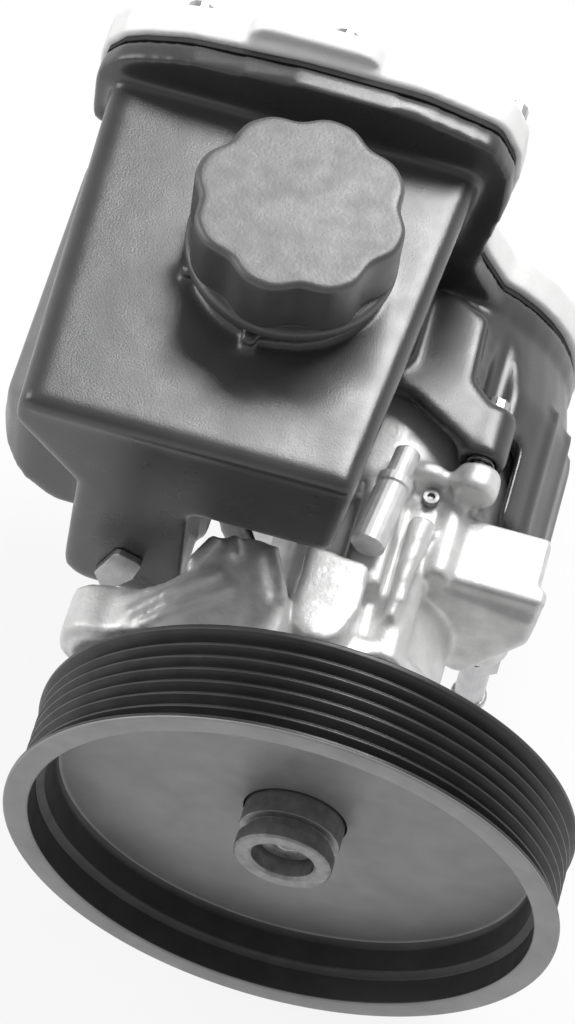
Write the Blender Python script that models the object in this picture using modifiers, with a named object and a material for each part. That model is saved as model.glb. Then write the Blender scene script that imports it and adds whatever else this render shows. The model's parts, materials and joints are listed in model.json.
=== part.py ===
"""Vane power steering pump with a belt pulley and its own fluid reservoir.

The shaft runs along Y with the pulley's open dish facing -Y, and the filler cap points up.
The origin is on the shaft's axis, in the plane of the pulley's front lip.
Sizes are in millimetres; mesh points are turned into metres as they are made.
"""
import math

import bmesh
import bpy
from mathutils import Matrix, Vector

MM = 0.001
GAP = 0.3
WELD = 0.002

# Belt pulley
BELT_RIBS = 7
RIB_PITCH = 3.56
RIB_DEPTH = 2.5
RIB_TIP_R = 70.2
RIB_FLAT = 0.5
LIP_R = RIB_TIP_R + 2.3
LIP_THICK = 1.6
BACK_RIM_R = RIB_TIP_R + 0.7
BACK_RIM_WIDTH = 1.9
RIM_THICK = 6.6
DISH_R = RIB_TIP_R - RIM_THICK
DISH_FRONT_R = DISH_R + 2.3
DISH_STEP_Y = 8.5
WEB_Y = 17.0
WEB_THICK = 3.0
PULLEY_STEPS = 44

# Pulley hub
HUB_R = 13.2
HUB_RING_R = 12.9
HUB_GROOVE_R = 11.3
HUB_GROOVE_Y = 7.6
HUB_GROOVE_WIDTH = 3.2
HUB_FRONT_Y = 3.5
HUB_FLANGE_R = 19.0
HUB_FLANGE_THICK = 4.0
HUB_BACK_Y = 30.0

# Shaft
SHAFT_HUB_R = 8.0
SHAFT_JOURNAL_R = 8.6
SHAFT_SPLINE_R = 8.2
SHAFT_SPLINE_ROOT_R = 7.1
SHAFT_SPLINES = 12
SHAFT_TAIL_R = 5.6
SHAFT_FRONT_Y = 8.6
CENTRE_HOLE_R = 2.6

# Housing core, a turned form on the shaft's axis
NOSE_Y = 32.0
NOSE_R = 19.0
NOSE_LENGTH = 6.0
ARM_Y = 36.0
EAR_THICK = 14.0
ARM_THICK = 21.5
ARM_TOP = 39.5
CARTRIDGE_R = 30.0
CARTRIDGE_Y = 104.0
CASTING_WALL = 5.0
CORE_R = CARTRIDGE_R + CASTING_WALL
CORE_FRONT_R = 26.5
CORE_STEP_Y = 99.0
CORE_BACK_Y = 160.0
SEAL_R = 14.0
SEAL_DEPTH = 8.0
BUSH_R = 11.2
BUSH_LENGTH = 14.0

# Vane cartridge
PLATE_THICK = 8.0
RING_THICK = 18.0
CAM_WALL = 5.6
CAM_LIFT = 3.2
CAM_MAJOR_R = CARTRIDGE_R - CAM_WALL
CAM_MINOR_R = CAM_MAJOR_R - CAM_LIFT
ROTOR_R = CAM_MINOR_R - 0.6
VANES = 10
VANE_THICK = 1.8
VANE_HEIGHT = 8.6
VANE_UNDER_ROOM = 1.6
VANE_CLEARANCE = 0.12
END_PLAY = 0.3
SPRING_HEIGHT = 5.0
COVER_THICK = 8.0
CLIP_WIRE = 1.6
DOWEL_R = 2.0
DOWEL_CIRCLE_R = CARTRIDGE_R - 2.9

# Flow valve, beside the shaft and parallel to it
VALVE_X = 11.0
VALVE_Z = 24.5
VALVE_BORE_R = 3.3
VALVE_BOSS_R = 5.2
VALVE_FRONT_Y = 52.0
VALVE_DEPTH = 46.0
SPOOL_LENGTH = 20.0
SPOOL_WAIST_DEPTH = 1.0
SPRING_WIRE_R = 0.6
SPRING_TURNS = 5
PLUG_INSIDE = 7.0
PLUG_HEAD = 3.0

# Port block on the casting's right side
BLOCK_LEFT = 21.0
BLOCK_RIGHT = 45.0
BLOCK_TOP = 28.5
BLOCK_LOW = -15.5
BLOCK_FRONT_Y = 80.0
BLOCK_BACK_Y = 100.0
BLOCK_FACE_PROUD = 1.5
PORT_X = 34.2
PORT_Y = 89.5
PORT_R = 2.6
UNION_PIPE_R = 4.1
UNION_COLLAR_R = 5.0
UNION_HEX_R = 6.8
UNION_END_Z = -44.0

# Round ribs, lobes and the sleeve on top of the casting
RIB_TOP = 37.0
RIB_FRONT_Y = 62.6
LOBE_R = 6.4
POCKET_FLOOR = 30.0
POCKET_X = 11.0
POCKET_BACK_Y = 103.6
SLEEVE_X = -9.2
SLEEVE_TURN = 6.4
SLEEVE_R = 4.8
SLEEVE_NECK_R = 3.4
SLEEVE_Z = CORE_R + SLEEVE_NECK_R + GAP
SLEEVE_FRONT_Y = 77.0
SLEEVE_BACK_Y = 108.5

# Ears of the casting
EAR_HOLE_R = 4.3
EAR_PAD_R = 9.0
EAR_PAD_PROUD = 1.5
EARS = ((-57.0, 21.0), (-12.0, -57.0), (46.0, -33.0))

# Reservoir box, seen from the front (X, Z)
BOX_TOP = 90.0
BOX_NEAR_Y = 60.0
BOX_NEAR_LEFT = -90.0
BOX_NEAR_RIGHT = -5.0
BOX_FAR_LEFT = -94.5
BOX_FAR_RIGHT = 3.0
BOX_FLOOR = 57.0
LEG_LEFT = -75.5
LEG_RIGHT = -45.0
LEG_FLOOR = 12.0
CHAMFER_TOP = 79.0
CHAMFER_LOW = 58.0
EDGE_R = 4.0
WALL = 3.0

# Left tank and barrel behind the leg
TANK_Y = 80.0
TANK_LEFT = -100.5
TANK_TOP = 62.0
TANK_CORNER_R = 14.5
TUNNEL_CLEARANCE = 1.5
TUNNEL_R = CORE_R + TUNNEL_CLEARANCE
BARREL_DROP = 1.5
BARREL_END_WALL = 2.9
BARREL_END_R = TUNNEL_R + BARREL_END_WALL
BARREL_SWELL = 4.6
BARREL_R = BARREL_END_R + BARREL_SWELL
BARREL_TAPER_Y = 138.0
BARREL_Y = 101.5
BARREL_RIBS = 5
SADDLE_Y = 125.0

# Seam flange and the cover behind it
FLANGE_Y = 161.0
FLANGE_THICK = 6.5
FLANGE_TOP = 101.5
FLANGE_LEFT = -99.7
FLANGE_RIGHT = 11.0
FLANGE_CORNER_R = 15.0
WAIST_X = 6.3
WAIST_Z = 49.0
FLANGE_EAR_R = 5.2
COVER_OUTSET = 0.8
COVER_RIM = 6.3
COVER_DEPTH = 10.0
COVER_ROUND_INSET = 7.5
COVER_WALL = 2.8
GASKET_THICK = 1.5

# Lug on the reservoir's right side
LUG_X = 21.5
LUG_Z = 37.2
LUG_R = 6.6
LUG_BUSH_R = 3.7
LUG_BOLT_R = 2.5
LUG_BOLT_HEAD_R = 3.7
LUG_FRONT_Y = 110.4
LUG_BACK_Y = 126.5
SHELF_TOP = 43.5
SHELF_THICK = 4.5

# Filler neck and cap
CAP_X = -37.0
CAP_Y = 118.5
CAP_R = 27.0
CAP_LOBES = 8
CAP_LOBE_DEPTH = 2.2
CAP_LOBE_TURN = 37.0
CAP_TOP = 118.0
CAP_LOW = 96.0
CAP_RING = 4.0
CAP_ROOF = 4.0
NECK_R = 18.5
NECK_WALL = 2.6
NECK_TOP = 111.0
COLLAR_R = 24.0
COLLAR_Z = 92.0
COLLAR_THICK = 2.4
SEAL_THICK = 1.8
DIPSTICK_WIDTH = 7.0
DIPSTICK_THICK = 2.2
DIPSTICK_LENGTH = 44.0

# Return nipple on the cover's back
COVER_SCREW_R = 1.9
COVER_SCREW_HEAD_R = 3.6
COVER_SCREW_HEAD = 3.2
NIPPLE_X = -78.0
NIPPLE_Z = 44.0
NIPPLE_R = 5.6
NIPPLE_BORE_R = 3.4
NIPPLE_LENGTH = 24.0


# Scene and materials

for old in list(bpy.data.objects):
    bpy.data.objects.remove(old)

PARTS = bpy.data.collections.new("power_steering_pump")
bpy.context.scene.collection.children.link(PARTS)

FINISHES = {
    "black_plastic": ((0.045, 0.045, 0.048), 0.42, 0.0),
    "cap_plastic": ((0.06, 0.06, 0.063), 0.5, 0.0),
    "cast_aluminium": ((0.62, 0.63, 0.64), 0.5, 0.9),
    "light_casting": ((0.8, 0.8, 0.79), 0.45, 0.3),
    "pulley_paint": ((0.1, 0.1, 0.105), 0.4, 0.1),
    "steel": ((0.55, 0.55, 0.57), 0.3, 1.0),
    "rubber": ((0.02, 0.02, 0.02), 0.75, 0.0),
}


def finish(slot):
    """The material of a slot, made the first time it is asked for."""
    made = bpy.data.materials.get(slot)
    if made is None:
        colour, roughness, metallic = FINISHES[slot]
        made = bpy.data.materials.new(slot)
        made.use_nodes = True
        shader = made.node_tree.nodes["Principled BSDF"]
        shader.inputs["Base Color"].default_value = (*colour, 1.0)
        shader.inputs["Roughness"].default_value = roughness
        shader.inputs["Metallic"].default_value = metallic
    return made


# Shape helpers. Points and sizes given to them are in millimetres.

def placed(name, mesh, slot=None, at=(0, 0, 0)):
    """Link a mesh of metres about its own origin, which goes to a point in millimetres."""
    piece = bpy.data.objects.new(name, mesh)
    piece.location = Vector(at) * MM
    PARTS.objects.link(piece)
    if slot:
        mesh.materials.clear()
        mesh.materials.append(finish(slot))
    return piece


def evaluated_mesh(piece):
    """A piece's mesh with its modifiers applied, welded and cleaned."""
    bpy.context.view_layer.update()
    graph = bpy.context.evaluated_depsgraph_get()
    mesh = bpy.data.meshes.new_from_object(piece.evaluated_get(graph))
    shape = bmesh.new()
    shape.from_mesh(mesh)
    bmesh.ops.remove_doubles(shape, verts=shape.verts, dist=WELD * MM)
    bmesh.ops.dissolve_degenerate(shape, edges=shape.edges, dist=WELD * MM)
    shape.to_mesh(mesh)
    shape.free()
    return mesh


def combine(piece, tool, operation):
    """Boolean a tool into a piece and remove the tool."""
    step = piece.modifiers.new(operation.lower(), "BOOLEAN")
    step.operation = operation
    step.solver = "EXACT"
    step.object = tool
    mesh = evaluated_mesh(piece)
    piece.modifiers.clear()
    piece.data = mesh
    bpy.data.objects.remove(tool)
    return piece


def cut(piece, *tools):
    for tool in tools:
        combine(piece, tool, "DIFFERENCE")
    return piece


def join(piece, *tools):
    for tool in tools:
        combine(piece, tool, "UNION")
    return piece


def keep_inside(piece, tool):
    return combine(piece, tool, "INTERSECT")


def soften(piece, width, segments):
    """Round a piece's sharper edges and keep the result as its mesh."""
    step = piece.modifiers.new("soften", "BEVEL")
    step.width = width * MM
    step.segments = segments
    step.limit_method = "ANGLE"
    step.angle_limit = math.radians(60)
    mesh = evaluated_mesh(piece)
    piece.modifiers.clear()
    piece.data = mesh
    return piece


def turn_to(along):
    """The turn that lays a shape's own Z along a world axis."""
    turns = {
        "Z": Matrix.Identity(4),
        "Y": Matrix.Rotation(-math.pi / 2, 4, "X"),
        "X": Matrix.Rotation(math.pi / 2, 4, "Y"),
    }
    return turns[along]


def turned(name, profile, slot=None, at=(0, 0, 0), along="Y", steps=32):
    """Turn a profile of (radius, height) points, outer side first and from its top down."""
    shape = bmesh.new()
    ring = [shape.verts.new((r * MM, 0, h * MM)) for r, h in profile]
    for first, second in zip(ring, ring[1:]):
        shape.edges.new((first, second))
    if profile[0][0] > 0:
        shape.edges.new((ring[-1], ring[0]))
    mesh = bpy.data.meshes.new(name)
    shape.to_mesh(mesh)
    shape.free()
    piece = placed(name, mesh, slot, at)
    screw = piece.modifiers.new("turn", "SCREW")
    screw.axis = "Z"
    screw.angle = 2 * math.pi
    screw.steps = steps
    screw.render_steps = steps
    screw.use_merge_vertices = True
    screw.merge_threshold = 0.00001
    mesh = evaluated_mesh(piece)
    piece.modifiers.clear()
    piece.data = mesh
    mesh.transform(turn_to(along))
    mesh.set_sharp_from_angle(angle=math.radians(35))
    return piece


def rod(name, radius, low, high, slot=None, at=(0, 0, 0), along="Y", steps=24, bevel=0.0):
    """A solid round bar from low to high along an axis through a point."""
    profile = [(0, high), (radius - bevel, high)]
    if bevel:
        profile.append((radius, high - bevel))
        profile.append((radius, low + bevel))
    profile += [(radius - bevel if bevel else radius, low), (0, low)]
    if not bevel:
        profile = [(0, high), (radius, high), (radius, low), (0, low)]
    return turned(name, profile, slot, at, along, steps)


def ring(name, outer, inner, low, high, slot=None, at=(0, 0, 0), along="Y", steps=32):
    """A plain ring from low to high."""
    profile = [(outer, high), (outer, low), (inner, low), (inner, high)]
    return turned(name, profile, slot, at, along, steps)


def o_ring(name, middle_r, wire_r, height, slot="rubber", at=(0, 0, 0), along="Y", steps=28, sides=5):
    """A round-section ring about an axis."""
    profile = []
    for side in range(sides):
        angle = math.pi / 2 - 2 * math.pi * side / sides
        profile.append((middle_r + wire_r * math.cos(angle), height + wire_r * math.sin(angle)))
    return turned(name, profile, slot, at, along, steps)


def fillet(before, corner, after, radius, steps):
    """Points of the arc that rounds one corner of an outline."""
    to_before = (before - corner).normalized()
    to_after = (after - corner).normalized()
    opening = to_before.angle(to_after)
    if radius <= 0 or opening > math.pi - 0.02:
        return [corner]
    reach = radius / math.tan(opening / 2)
    limit = 0.49 * min((before - corner).length, (after - corner).length)
    if reach > limit:
        radius *= limit / reach
        reach = limit
    start = corner + to_before * reach
    end = corner + to_after * reach
    centre = corner + (to_before + to_after).normalized() * (radius / math.sin(opening / 2))
    points = []
    for step in range(steps + 1):
        blend = start.lerp(end, step / steps) - centre
        points.append(centre + blend.normalized() * radius)
    return points


def rounded(corners, steps=4):
    """Points of an outline whose corners are (across, up, radius)."""
    places = [Vector(corner[:2]) for corner in corners]
    points = []
    for index, corner in enumerate(corners):
        before = places[index - 1]
        after = places[(index + 1) % len(places)]
        points += fillet(before, places[index], after, corner[2], steps)
    return points


def inset(corners, by):
    """The same outline with every side moved inwards; corners run clockwise."""
    moved = []
    count = len(corners)
    for index, corner in enumerate(corners):
        here = Vector(corner[:2])
        into = (here - Vector(corners[index - 1][:2])).normalized()
        out = (Vector(corners[(index + 1) % count][:2]) - here).normalized()
        normal_in = Vector((into.y, -into.x))
        normal_out = Vector((out.y, -out.x))
        share = 1 + normal_in.dot(normal_out)
        shift = (normal_in + normal_out) * (by / share)
        convex = into.cross(out) < 0
        radius = corner[2] - by if convex else corner[2] + by
        moved.append((here.x + shift.x, here.y + shift.y, max(radius, 0.4)))
    return moved


def flat_to(along):
    """The turn that lays an outline's plane across a world axis, its up staying up."""
    turns = {
        "Z": Matrix.Identity(4),
        "Y": Matrix.Rotation(math.pi / 2, 4, "X"),
        "X": Matrix(((0, 0, 1, 0), (1, 0, 0, 0), (0, 1, 0, 0), (0, 0, 0, 1))),
    }
    return turns[along]


def slab(name, outlines, low, high, slot=None, along="Y", at=(0, 0, 0)):
    """A flat outline, with any holes after it, as a solid from low to high along an axis."""
    curve = bpy.data.curves.new(name, "CURVE")
    curve.dimensions = "2D"
    curve.fill_mode = "BOTH"
    curve.extrude = (high - low) / 2 * MM
    for outline in outlines:
        spline = curve.splines.new("POLY")
        spline.points.add(len(outline) - 1)
        for point, place in zip(spline.points, outline):
            point.co = (place[0] * MM, place[1] * MM, 0, 1)
        spline.use_cyclic_u = True
    guide = bpy.data.objects.new(name, curve)
    PARTS.objects.link(guide)
    mesh = evaluated_mesh(guide)
    bpy.data.objects.remove(guide)
    mesh.transform(flat_to(along))
    middle = {"X": (1, 0, 0), "Y": (0, 1, 0), "Z": (0, 0, 1)}[along]
    mesh.transform(Matrix.Translation(Vector(middle) * ((low + high) / 2 * MM)))
    return placed(name, mesh, slot, at)


def loft(name, near, far, near_y, far_y, slot=None):
    """A solid between two outlines of equally many points, in planes across Y."""
    shape = bmesh.new()
    loops = []
    for outline, y in ((near, near_y), (far, far_y)):
        loops.append([shape.verts.new((p[0] * MM, y * MM, p[1] * MM)) for p in outline])
    shape.faces.new(loops[0])
    shape.faces.new(list(reversed(loops[1])))
    edges = [shape.edges.get((loop[i - 1], loop[i])) for loop in loops for i in range(len(loop))]
    bmesh.ops.bridge_loops(shape, edges=edges)
    bmesh.ops.recalc_face_normals(shape, faces=shape.faces)
    mesh = bpy.data.meshes.new(name)
    shape.to_mesh(mesh)
    shape.free()
    return placed(name, mesh, slot)


def block(name, low, high, slot=None):
    """A box between two corners."""
    shape = bmesh.new()
    bmesh.ops.create_cube(shape, size=1)
    size = [(b - a) * MM for a, b in zip(low, high)]
    bmesh.ops.scale(shape, verts=shape.verts, vec=size)
    mesh = bpy.data.meshes.new(name)
    shape.to_mesh(mesh)
    shape.free()
    piece = placed(name, mesh, slot, [(a + b) / 2 for a, b in zip(low, high)])
    mesh.transform(Matrix.Translation(piece.location))
    piece.location = (0, 0, 0)
    return piece


def circle(centre, radius, steps=24, start=0.0):
    """Points of a circle in an outline's plane."""
    points = []
    for step in range(steps):
        angle = start + 2 * math.pi * step / steps
        points.append(Vector((centre[0] + radius * math.cos(angle), centre[1] + radius * math.sin(angle))))
    return points


# The turning pieces: pulley, hub and shaft

def rib_profile():
    """The belt ribs' flat crests and their valleys, from the back rim to the front lip."""
    middle_first = LIP_THICK + RIB_PITCH / 2
    points = []
    for rib in reversed(range(BELT_RIBS)):
        middle = middle_first + rib * RIB_PITCH
        points.append((RIB_TIP_R, middle + RIB_PITCH / 2 - RIB_FLAT / 2))
        points.append((RIB_TIP_R - RIB_DEPTH, middle))
        points.append((RIB_TIP_R, middle - RIB_PITCH / 2 + RIB_FLAT / 2))
    return points


def pulley_width():
    return LIP_THICK + BELT_RIBS * RIB_PITCH + BACK_RIM_WIDTH


def make_pulley():
    back = pulley_width()
    ribs = rib_profile()
    web_back = WEB_Y + WEB_THICK
    hub_hole = HUB_R + GAP
    profile = [(BACK_RIM_R - 0.6, back), (BACK_RIM_R, back - 0.5), (BACK_RIM_R, back - BACK_RIM_WIDTH + 0.6)]
    profile += ribs
    profile += [(RIB_TIP_R + 0.6, LIP_THICK), (LIP_R, LIP_THICK), (LIP_R, 0.5), (LIP_R - 0.5, 0)]
    profile += [(DISH_FRONT_R + 0.6, 0), (DISH_FRONT_R, 0.8), (DISH_FRONT_R, DISH_STEP_Y - 1)]
    profile += [(DISH_R, DISH_STEP_Y), (DISH_R, WEB_Y - 1.5), (DISH_R - 1.5, WEB_Y)]
    profile += [(hub_hole, WEB_Y), (hub_hole, web_back)]
    profile += [(DISH_R - 2, web_back), (DISH_R, web_back + 2), (DISH_R + 0.6, back)]
    return turned("pulley", profile, "pulley_paint", steps=PULLEY_STEPS)


def make_pulley_hub():
    groove_back = HUB_GROOVE_Y + HUB_GROOVE_WIDTH
    flange_front = WEB_Y + WEB_THICK + GAP
    flange_back = flange_front + HUB_FLANGE_THICK
    bore = SHAFT_HUB_R + GAP
    profile = [(HUB_R, HUB_BACK_Y), (HUB_R, flange_back)]
    profile += [(HUB_FLANGE_R, flange_back), (HUB_FLANGE_R, flange_front), (HUB_R, flange_front)]
    profile += [(HUB_R, groove_back), (HUB_GROOVE_R, groove_back - 0.6), (HUB_GROOVE_R, HUB_GROOVE_Y + 0.6)]
    profile += [(HUB_RING_R, HUB_GROOVE_Y), (HUB_RING_R, HUB_FRONT_Y + 0.6), (HUB_RING_R - 0.6, HUB_FRONT_Y)]
    profile += [(bore + 0.8, HUB_FRONT_Y), (bore, HUB_FRONT_Y + 0.8), (bore, HUB_BACK_Y)]
    return turned("pulley_hub", profile, "steel", steps=28)


def cartridge_stations():
    """Where each piece of the cartridge begins along the shaft."""
    front_plate = CARTRIDGE_Y + GAP
    cam = front_plate + PLATE_THICK + GAP
    rear_plate = cam + RING_THICK + GAP
    spring = rear_plate + PLATE_THICK + GAP
    cover = spring + SPRING_HEIGHT + GAP
    clip = cover + COVER_THICK + GAP
    return {"front_plate": front_plate, "cam": cam, "rear_plate": rear_plate,
            "spring": spring, "cover": cover, "clip": clip}


def spline_outline(growth=0.0):
    """The splined section of the shaft, grown for the rotor's bore."""
    points = []
    quarter = 2 * math.pi / SHAFT_SPLINES / 4
    for tooth in range(SHAFT_SPLINES):
        for step, radius in enumerate((SHAFT_SPLINE_R, SHAFT_SPLINE_R, SHAFT_SPLINE_ROOT_R, SHAFT_SPLINE_ROOT_R)):
            angle = (tooth * 4 + step) * quarter
            reach = radius + growth
            points.append(Vector((reach * math.cos(angle), reach * math.sin(angle))))
    return points


def make_drive_shaft():
    stations = cartridge_stations()
    journal_front = HUB_BACK_Y + GAP
    spline_front = stations["cam"] - 2
    spline_back = stations["rear_plate"] - 1
    tail_back = stations["spring"] - 1
    profile = [(0, tail_back), (SHAFT_TAIL_R - 0.6, tail_back), (SHAFT_TAIL_R, tail_back - 0.6)]
    profile += [(SHAFT_TAIL_R, spline_back), (SHAFT_SPLINE_ROOT_R - 0.4, spline_back)]
    profile += [(SHAFT_SPLINE_ROOT_R - 0.4, spline_front), (SHAFT_JOURNAL_R, spline_front)]
    profile += [(SHAFT_JOURNAL_R, journal_front), (SHAFT_HUB_R, journal_front)]
    profile += [(SHAFT_HUB_R, SHAFT_FRONT_Y + 0.8), (SHAFT_HUB_R - 0.8, SHAFT_FRONT_Y)]
    profile += [(CENTRE_HOLE_R, SHAFT_FRONT_Y), (0, SHAFT_FRONT_Y + CENTRE_HOLE_R * 1.5)]
    shaft = turned("drive_shaft", profile, "steel", steps=28)
    teeth = slab("teeth", [spline_outline()], spline_front - 1, spline_back)
    return join(shaft, teeth)


def make_shaft_clip():
    """Snap ring on the shaft in front of the rotor."""
    stations = cartridge_stations()
    low = stations["cam"] - GAP - 1.6
    outer = SHAFT_JOURNAL_R + 0.3
    clip = ring("rotor_circlip", outer, SHAFT_SPLINE_R + GAP, low, low + 1.2, "steel", steps=24)
    return clip


def vane_angle(index):
    return 2 * math.pi * (index + 0.5) / VANES


def make_rotor():
    stations = cartridge_stations()
    low = stations["cam"] + END_PLAY
    high = stations["cam"] + RING_THICK - END_PLAY
    rotor = slab("rotor", [circle((0, 0), ROTOR_R, 60), spline_outline(GAP)], low, high, "steel")
    slot_floor = CAM_MINOR_R - VANE_CLEARANCE - VANE_HEIGHT - VANE_UNDER_ROOM
    half = VANE_THICK / 2 + VANE_CLEARANCE
    for index in range(VANES):
        cutter = block("slot", (slot_floor, low - 2, -half), (ROTOR_R + 2, high + 2, half))
        cutter.data.transform(Matrix.Rotation(-vane_angle(index), 4, "Y"))
        cut(rotor, cutter)
    return rotor


def make_vane(index):
    """One vane, its tip rounded, standing at the cam's smaller radius."""
    stations = cartridge_stations()
    low = stations["cam"] + END_PLAY
    high = stations["cam"] + RING_THICK - END_PLAY
    tip = CAM_MINOR_R - VANE_CLEARANCE
    half = VANE_THICK / 2
    root = tip - VANE_HEIGHT
    outline = rounded([(root, half, 0.2), (tip, half, 0.85), (tip, -half, 0.85), (root, -half, 0.2)], 2)
    vane = slab("vane_%02d" % (index + 1), [outline], low, high, "steel")
    vane.data.transform(Matrix.Rotation(-vane_angle(index), 4, "Y"))
    return vane


# The cartridge's fixed pieces

def cam_outline(steps=56):
    """The two-lobed bore in which the vanes run."""
    points = []
    middle = (CAM_MAJOR_R + CAM_MINOR_R) / 2
    swing = (CAM_MAJOR_R - CAM_MINOR_R) / 2
    for step in range(steps):
        angle = 2 * math.pi * step / steps
        radius = middle + swing * math.sin(2 * angle + math.pi / 2)
        points.append(Vector((radius * math.cos(angle), radius * math.sin(angle))))
    return points


def dowel_holes():
    return [circle((0, side * DOWEL_CIRCLE_R), DOWEL_R + GAP, 10) for side in (-1, 1)]


def kidney(middle_angle, half_angle, inner, outer, steps=5):
    """A curved port through a pressure plate."""
    angles = [middle_angle - half_angle + 2 * half_angle * step / steps for step in range(steps + 1)]
    outside = [Vector((outer * math.cos(a), outer * math.sin(a))) for a in angles]
    inside = [Vector((inner * math.cos(a), inner * math.sin(a))) for a in reversed(angles)]
    return outside + inside


def make_cam_ring():
    low = cartridge_stations()["cam"]
    rim = circle((0, 0), CARTRIDGE_R - GAP, 48)
    return slab("cam_ring", [rim, cam_outline()] + dowel_holes(), low, low + RING_THICK, "steel")


def make_pressure_plate(name, station, bore):
    low = cartridge_stations()[station]
    rim = circle((0, 0), CARTRIDGE_R - GAP, 48)
    ports = [kidney(math.radians(angle), math.radians(24), ROTOR_R - 4.6, ROTOR_R - 0.6) for angle in (0, 180)]
    outlines = [rim, circle((0, 0), bore, 24)] + ports + dowel_holes()
    return slab(name, outlines, low, low + PLATE_THICK, "steel")


def make_dowels():
    """Two pins through both plates and the cam ring."""
    stations = cartridge_stations()
    low = stations["front_plate"] + 1
    high = stations["rear_plate"] + PLATE_THICK - 1
    pins = []
    for side, label in ((-1, "low"), (1, "high")):
        at = (0, 0, side * DOWEL_CIRCLE_R)
        pins.append(rod("dowel_pin_" + label, DOWEL_R, low, high, "steel", at, steps=10, bevel=0.4))
    return pins


def make_plate_spring():
    """Dished spring that holds the plates together."""
    low = cartridge_stations()["spring"]
    high = low + SPRING_HEIGHT
    outer = CARTRIDGE_R - 3
    inner = CARTRIDGE_R / 2
    profile = [(outer, high), (outer, high - 1.4), (inner + 1, low), (inner - 0.5, low + 0.3), (outer - 2, high)]
    return turned("plate_spring", profile, "steel", steps=28)


def make_end_cover():
    low = cartridge_stations()["cover"]
    high = low + COVER_THICK
    rim = CARTRIDGE_R - GAP
    groove_low = low + 2.2
    groove_high = groove_low + 3.4
    floor = rim - 2.6
    profile = [(0, high), (10, high), (12, high - 2), (rim - 4, high - 2), (rim - 4, high), (rim - 0.5, high)]
    profile += [(rim, high - 0.5), (rim, groove_high), (floor, groove_high), (floor, groove_low)]
    profile += [(rim, groove_low), (rim, low + 0.5), (rim - 0.5, low), (0, low)]
    return turned("end_cover", profile, "cast_aluminium", steps=28)


def make_end_cover_ring():
    low = cartridge_stations()["cover"] + 2.2 + 1.7
    rim = CARTRIDGE_R - GAP
    return o_ring("end_cover_oring", rim - 1.15, 1.15, low, steps=24)


def make_end_cover_clip():
    """Spring wire ring with its ends apart, in a groove of the housing."""
    low = cartridge_stations()["clip"]
    outer = CARTRIDGE_R + 1.0
    clip = ring("end_cover_clip", outer, outer - 2.4, low, low + CLIP_WIRE, "steel", steps=36)
    opening = block("opening", (-3.5, low - 1, -outer - 2), (3.5, low + CLIP_WIRE + 1, -outer + 4))
    return cut(clip, opening)


# Seals and bushes on the shaft

def make_shaft_seal():
    low = NOSE_Y + 0.6
    high = low + SEAL_DEPTH - 1.2
    outer = SEAL_R - GAP
    lip = SHAFT_JOURNAL_R + GAP
    profile = [(outer, high), (outer, low), (lip + 2.2, low), (lip + 1.2, low + 1.2)]
    profile += [(lip, low + 2.6), (lip + 1.0, low + 4.2), (lip + 3.0, high)]
    return turned("shaft_seal", profile, "rubber", steps=28)


def make_bush(name, low):
    return ring(name, BUSH_R - GAP, SHAFT_JOURNAL_R + GAP / 2, low, low + BUSH_LENGTH, "steel", steps=28)


def bush_places():
    front = NOSE_Y + SEAL_DEPTH + 2
    back = CARTRIDGE_Y - BUSH_LENGTH - 1
    return front, back


# The casting

def suction_groove():
    """Front, back and floor radius of the groove for the suction side's ring."""
    front = SADDLE_Y + 5
    return front, front + 4, CORE_R - 2.6


def core_profile():
    """Outer side of the casting's turned core, from its back end."""
    front, back, floor = suction_groove()
    profile = [(0, CORE_BACK_Y), (CORE_R - 1, CORE_BACK_Y), (CORE_R, CORE_BACK_Y - 1)]
    profile += [(CORE_R, back), (floor, back), (floor, front), (CORE_R, front)]
    profile += [(CORE_R, CORE_STEP_Y + 3), (CORE_R - 2, CORE_STEP_Y + 0.6), (CORE_FRONT_R, CORE_STEP_Y)]
    profile += [(CORE_FRONT_R, ARM_Y + 2), (NOSE_R, NOSE_Y + NOSE_LENGTH - 0.5), (NOSE_R, NOSE_Y + 1)]
    profile += [(NOSE_R - 1, NOSE_Y), (0, NOSE_Y)]
    return profile


def bore_profile():
    """The stepped bore through the core, from its back end."""
    front_bush, back_bush = bush_places()
    groove_low = cartridge_stations()["clip"] - GAP
    groove_high = groove_low + CLIP_WIRE + 2 * GAP
    profile = [(0, CORE_BACK_Y + 1), (CARTRIDGE_R + 2, CORE_BACK_Y + 1), (CARTRIDGE_R, CORE_BACK_Y - 1)]
    profile += [(CARTRIDGE_R, groove_high), (CARTRIDGE_R + 1.3, groove_high), (CARTRIDGE_R + 1.3, groove_low)]
    profile += [(CARTRIDGE_R, groove_low), (CARTRIDGE_R, CARTRIDGE_Y), (BUSH_R, CARTRIDGE_Y)]
    profile += [(BUSH_R, NOSE_Y + SEAL_DEPTH), (SEAL_R, NOSE_Y + SEAL_DEPTH), (SEAL_R, NOSE_Y - 1), (0, NOSE_Y - 1)]
    return profile


def arm_outline():
    """The arms that carry the three ears, seen from the front, clockwise."""
    left, low, right = EARS
    return [
        (left[0] - 12, left[1] + 9, 9), (left[0] + 4, left[1] + 13, 8), (-18, 29, 8), (3, 29, 6),
        (21, 18, 6), (25.5, 6, 5), (30, -14, 8), (right[0] + 12, right[1] + 10, 11),
        (right[0] + 9, right[1] - 13, 11), (right[0] - 14, right[1] - 8, 12), (8, -36, 12),
        (low[0] + 12, low[1] - 2, 10), (low[0] + 6, low[1] - 13, 10), (low[0] - 12, low[1] - 8, 10),
        (-26, -30, 14), (-36, -4, 16), (left[0] + 4, left[1] - 14, 8), (left[0] - 13, left[1] - 8, 10),
    ]


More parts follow.
